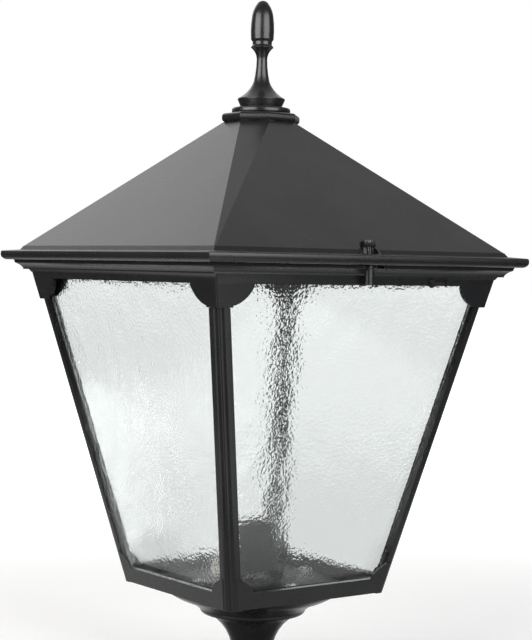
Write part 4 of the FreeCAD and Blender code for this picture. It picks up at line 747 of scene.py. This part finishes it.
# Base neck
# One turned casting, coated like the roof: a shallow dish under the cage, a stepped lip, a trumpet and a
# plain collar with the socket for the post's pipe. Three steel set screws in the collar grip the pipe.

NECK = [
    (17.05, 0), (22.5, 0), (22.5, 38.0, -49.4), (47.0, 70.0), (51.0, 71.2, 4.0), (56.0, 75.6),
    (57.0, 76.2, -40.0), (74.6, 86.0, 60.0), (89.6, 93.6, 5.0), (91.8, 97.5), (91.8, 99.0), (60.0, 99.0),
    (58.0, 90.0), (40.0, 76.0), (28.0, 66.0), (13.0, 58.0), (13.0, 50.0), (17.05, 50.0),
]
SET_SCREW_HOLE = 4.05
SET_SCREW_Z = 20

neck = settle("base_neck_casting", turned(NECK, steps=120))
grips = []
height = Vector((0, 0, SET_SCREW_Z))
for number in range(3):
    way = Matrix.Rotation(math.radians(90 + 120 * number), 3, "Z") @ Vector((1, 0, 0))
    grips.append(bar(SET_SCREW_HOLE, way * 14 + height, way * 26 + height, sides=32))
bore(neck, *grips)
dress(neck, black_coat, "coat", "frame", "base_neck", rounding=0.3, sharp=28)
repaint(bright_steel, "set_screws", "base_bolts", "base_bolt_washers")

# Lamp holder and tray
# A dark pressed tray lies in the cage's foot. On it stands a round holder for a screw-in lamp, on a folded
# bracket, with the terminal block, the earth screw and the rubber grommet for the supply beside it.

HOLDER = [
    (6.0, 117.9), (22.0, 117.9), (24.0, 119.9), (24.0, 131.0), (23.2, 131.8), (23.2, 133.2), (24.0, 134.0),
    (24.0, 164.9, 3.0), (21.0, 167.9), (16.0, 167.9), (16.0, 163.9), (20.0, 163.9), (20.0, 122.9),
    (6.0, 122.9),
]

holder = settle("lamp_holder_body", turned(HOLDER, steps=64))
holder_black = coated(
    "holder_black", Dark=(0.012, 0.012, 0.013, 1), Light=(0.02, 0.02, 0.021, 1), Gloss=0.45, Matt=0.6,
    Grain=2200, Relief=0.1, Dust=0.1,
)
dress(holder, holder_black, "holder", "frame", "lamp_holder_shell", rounding=0.3)
tray_black = coated(
    "tray_black", Dark=(0.010, 0.010, 0.011, 1), Light=(0.018, 0.018, 0.019, 1), Gloss=0.5, Matt=0.65,
    Grain=1300, Relief=0.15, Dust=0.2,
)
repaint(tray_black, "tray", "lamp_holder_bracket")
porcelain = coated(
    "porcelain", Dark=(0.62, 0.60, 0.55, 1), Light=(0.74, 0.72, 0.67, 1), Gloss=0.18, Matt=0.26,
    Grain=700, Relief=0.04, Dust=0.1,
)
repaint(porcelain, "lamp_contact_block", "terminal_block")
yellow_brass = metal("yellow_brass", (0.72, 0.52, 0.24), 0.3)
repaint(yellow_brass, "lamp_screw_shell", "lamp_centre_contact", "earth_screw")
repaint(bright_steel, "holder_screws", "terminal_screws")
repaint(black_rubber, "cable_grommet")

# Surround
# White to the camera and through the glass. Gloss mirrors a dim room that grows lighter above and behind the
# lantern, and everything else gets a low plain level.

UP_BEHIND = (0.30, 0.56, 0.77)


def ramp(tree, value, near, far, low, high):
    """A level that goes smoothly from low to high as a value goes from near to far."""
    level = tree.nodes.new("ShaderNodeMapRange")
    level.interpolation_type = "SMOOTHSTEP"
    level.inputs["From Min"].default_value = near
    level.inputs["From Max"].default_value = far
    level.inputs["To Min"].default_value = low
    level.inputs["To Max"].default_value = high
    tree.links.new(value, level.inputs["Value"])
    return level.outputs["Result"]


def by_ray(tree, plain, gloss, through, seen):
    """One level each for what gloss mirrors, what glass shows, what the camera sees and all else."""
    path = tree.nodes.new("ShaderNodeLightPath")
    level = plain
    for ray, strength in (("Glossy", gloss), ("Transmission", through), ("Camera", seen)):
        choice = tree.nodes.new("ShaderNodeMix")
        tree.links.new(path.outputs[f"Is {ray} Ray"], choice.inputs["Factor"])
        for socket, source in (("A", level), ("B", strength)):
            if isinstance(source, float):
                choice.inputs[socket].default_value = source
            else:
                tree.links.new(source, choice.inputs[socket])
        level = choice.outputs["Result"]
    return level


world = bpy.data.worlds.new("surround")
bpy.context.scene.world = world
world.use_nodes = True
sky_tree = world.node_tree
sky = sky_tree.nodes["Background"]
sky.inputs["Color"].default_value = (1, 1, 1, 1)
way_out = sky_tree.nodes.new("ShaderNodeTexCoord")
behind = sky_tree.nodes.new("ShaderNodeVectorMath")
behind.operation = "DOT_PRODUCT"
behind.inputs[1].default_value = UP_BEHIND
sky_tree.links.new(way_out.outputs["Generated"], behind.inputs[0])
sky_gloss = ramp(sky_tree, behind.outputs["Value"], 0.4, 1.0, 0.1, 0.68)
sky_tree.links.new(by_ray(sky_tree, 0.3, sky_gloss, 1.05, 1.0), sky.inputs["Strength"])

# Floor
# A wide white floor that keeps the lantern's shadow near its foot. Gloss sees a glow painted on it: a painted
# pool of light behind the lantern, two painted light patches in front, where the soft lamps stand, and a
# painted shadow under the lantern's foot. Glass shows it a little below white.

FLOOR_RADIUS = 30
# Centre of the painted pool of light, and the ways and level of the painted light patches, all seen only in
# gloss.
BRIGHT_SPOT = (0.35, 0.5, 0)
PATCH_WAYS = ((0.167, -0.986, 0), (-0.991, -0.133, 0))
PATCH_LEVEL = 0.9

floor_form = bmesh.new()
bmesh.ops.create_circle(
    floor_form, cap_ends=True, segments=96, radius=FLOOR_RADIUS, matrix=Matrix.Translation((0, 0, -0.0005))
)
floor_mesh = bpy.data.meshes.new("floor")
floor_form.to_mesh(floor_mesh)
floor_form.free()
floor = bpy.data.objects.new("floor", floor_mesh)
bpy.context.collection.objects.link(floor)
floor_white = bpy.data.materials.new("floor_white")
floor_white.use_nodes = True
floor_tree = floor_white.node_tree
floor_shader = floor_tree.nodes["Principled BSDF"]
floor_shader.inputs["Roughness"].default_value = 0.9
floor_shader.inputs["Specular IOR Level"].default_value = 0
floor_shader.inputs["Emission Color"].default_value = (1, 1, 1, 1)
floor_place = floor_tree.nodes.new("ShaderNodeTexCoord")


def floor_vector(operation, source, second=(0, 0, 0)):
    """A vector operation over the floor. Its second vector is the same all over."""
    node = floor_tree.nodes.new("ShaderNodeVectorMath")
    node.operation = operation
    node.inputs[1].default_value = second
    floor_tree.links.new(source, node.inputs[0])
    return node


def floor_sum(operation, first, second):
    """Two levels of the floor, added, multiplied or compared."""
    node = floor_tree.nodes.new("ShaderNodeMath")
    node.operation = operation
    floor_tree.links.new(first, node.inputs[0])
    floor_tree.links.new(second, node.inputs[1])
    return node.outputs["Value"]


from_spot = floor_vector("DISTANCE", floor_place.outputs["Object"], BRIGHT_SPOT).outputs["Value"]
from_foot = floor_vector("LENGTH", floor_place.outputs["Object"]).outputs["Value"]
heading = floor_vector("NORMALIZE", floor_place.outputs["Object"]).outputs["Vector"]
# Painted light patches on the floor, out in front where the soft lamps stand, seen only in gloss.
patches = []
for way in PATCH_WAYS:
    along = floor_vector("DOT_PRODUCT", heading, way).outputs["Value"]
    patches.append(ramp(floor_tree, along, 0.93, 0.99, 0, PATCH_LEVEL))
# A painted pool of light behind the lantern, fading with distance, seen only in gloss.
broad = ramp(floor_tree, from_spot, 0.4, 1.1, 0.85, 0.05)
# A painted shadow under the lantern's foot: gloss sees the floor dark there.
under = ramp(floor_tree, from_foot, 0.06, 0.15, 0.08, 1)
outside = ramp(floor_tree, from_foot, 0.3, 0.45, 0, 1)
floor_gloss = floor_sum(
    "ADD", floor_sum("MULTIPLY", broad, under), floor_sum("MULTIPLY", floor_sum("ADD", *patches), outside)
)
floor_through = ramp(floor_tree, from_foot, 1.2, 3.2, 0.66, 0.88)
floor_seen = ramp(floor_tree, from_foot, 0.4, 2.0, 0.25, 0.95)
floor_level = by_ray(floor_tree, 0.0, floor_gloss, floor_through, floor_seen)
floor_tree.links.new(floor_level, floor_shader.inputs["Emission Strength"])

floor_rays = floor_tree.nodes.new("ShaderNodeLightPath").outputs
mirrored = floor_sum("MAXIMUM", floor_rays["Is Transmission Ray"], floor_rays["Is Glossy Ray"])
floor_tone = floor_tree.nodes.new("ShaderNodeMix")
floor_tone.data_type = "RGBA"
floor_tone.inputs["A"].default_value = (0.8, 0.8, 0.8, 1)
floor_tone.inputs["B"].default_value = (0.03, 0.03, 0.03, 1)
floor_tree.links.new(mirrored, floor_tone.inputs["Factor"])
floor_tree.links.new(floor_tone.outputs["Result"], floor_shader.inputs["Base Color"])
floor_mesh.materials.append(floor_white)

# Lamps
# Three soft boxes: a broad one behind and above the lantern, and one on each side in front, where the round
# mouldings and the reeds mirror them as long lines.


def lamp(name, place, aim, width, height, watts, colour=(1, 1, 1)):
    """A soft rectangular lamp that looks at a point."""
    light = bpy.data.lights.new(name, "AREA")
    light.shape = "RECTANGLE"
    light.size = width
    light.size_y = height
    light.energy = watts
    light.color = colour
    stand = bpy.data.objects.new(name, light)
    stand.location = place
    stand.rotation_euler = (Vector(aim) - Vector(place)).to_track_quat("-Z", "Y").to_euler()
    bpy.context.collection.objects.link(stand)


lamp("behind_above", (0.9, 2.7, 2.0), (0, 0, 0.5), 3.4, 1.7, 15)
lamp("front_left", (-2.19, -0.22, 1.2), (0, 0, 0.6), 2.3, 1.4, 71, (1, 0.98, 0.95))
lamp("front_right", (0.25, -2.19, 1.2), (0, 0, 0.6), 2.3, 1.4, 57)

# Camera
# A long lens at the height of the cornice, turned to the front left corner as in the photograph. Its place,
# turn and length were fitted to the corners of roof, cornice, cage and base.

CAMERA_PLACE = (-1.04133, -1.42960, 0.4370)
YAW = math.radians(36.361)
PITCH = math.radians(-1.800)
ROLL = math.radians(0.993)
LENS_PIXELS = 1672.48
PHOTO_HEIGHT = 640
SENSOR = 36

ahead = Vector((math.sin(YAW) * math.cos(PITCH), math.cos(YAW) * math.cos(PITCH), math.sin(PITCH)))
level_right = Vector((math.cos(YAW), -math.sin(YAW), 0))
level_up = level_right.cross(ahead)
right = math.cos(ROLL) * level_right + math.sin(ROLL) * level_up
up = -math.sin(ROLL) * level_right + math.cos(ROLL) * level_up
lens = bpy.data.cameras.new("camera")
lens.sensor_width = SENSOR
lens.lens = SENSOR * LENS_PIXELS / PHOTO_HEIGHT
lens.clip_end = 100
camera = bpy.data.objects.new("camera", lens)
camera.matrix_world = Matrix.Translation(CAMERA_PLACE) @ Matrix((right, up, -ahead)).transposed().to_4x4()
bpy.context.collection.objects.link(camera)
bpy.context.scene.camera = camera
bpy.context.scene.view_settings.view_transform = "Standard"
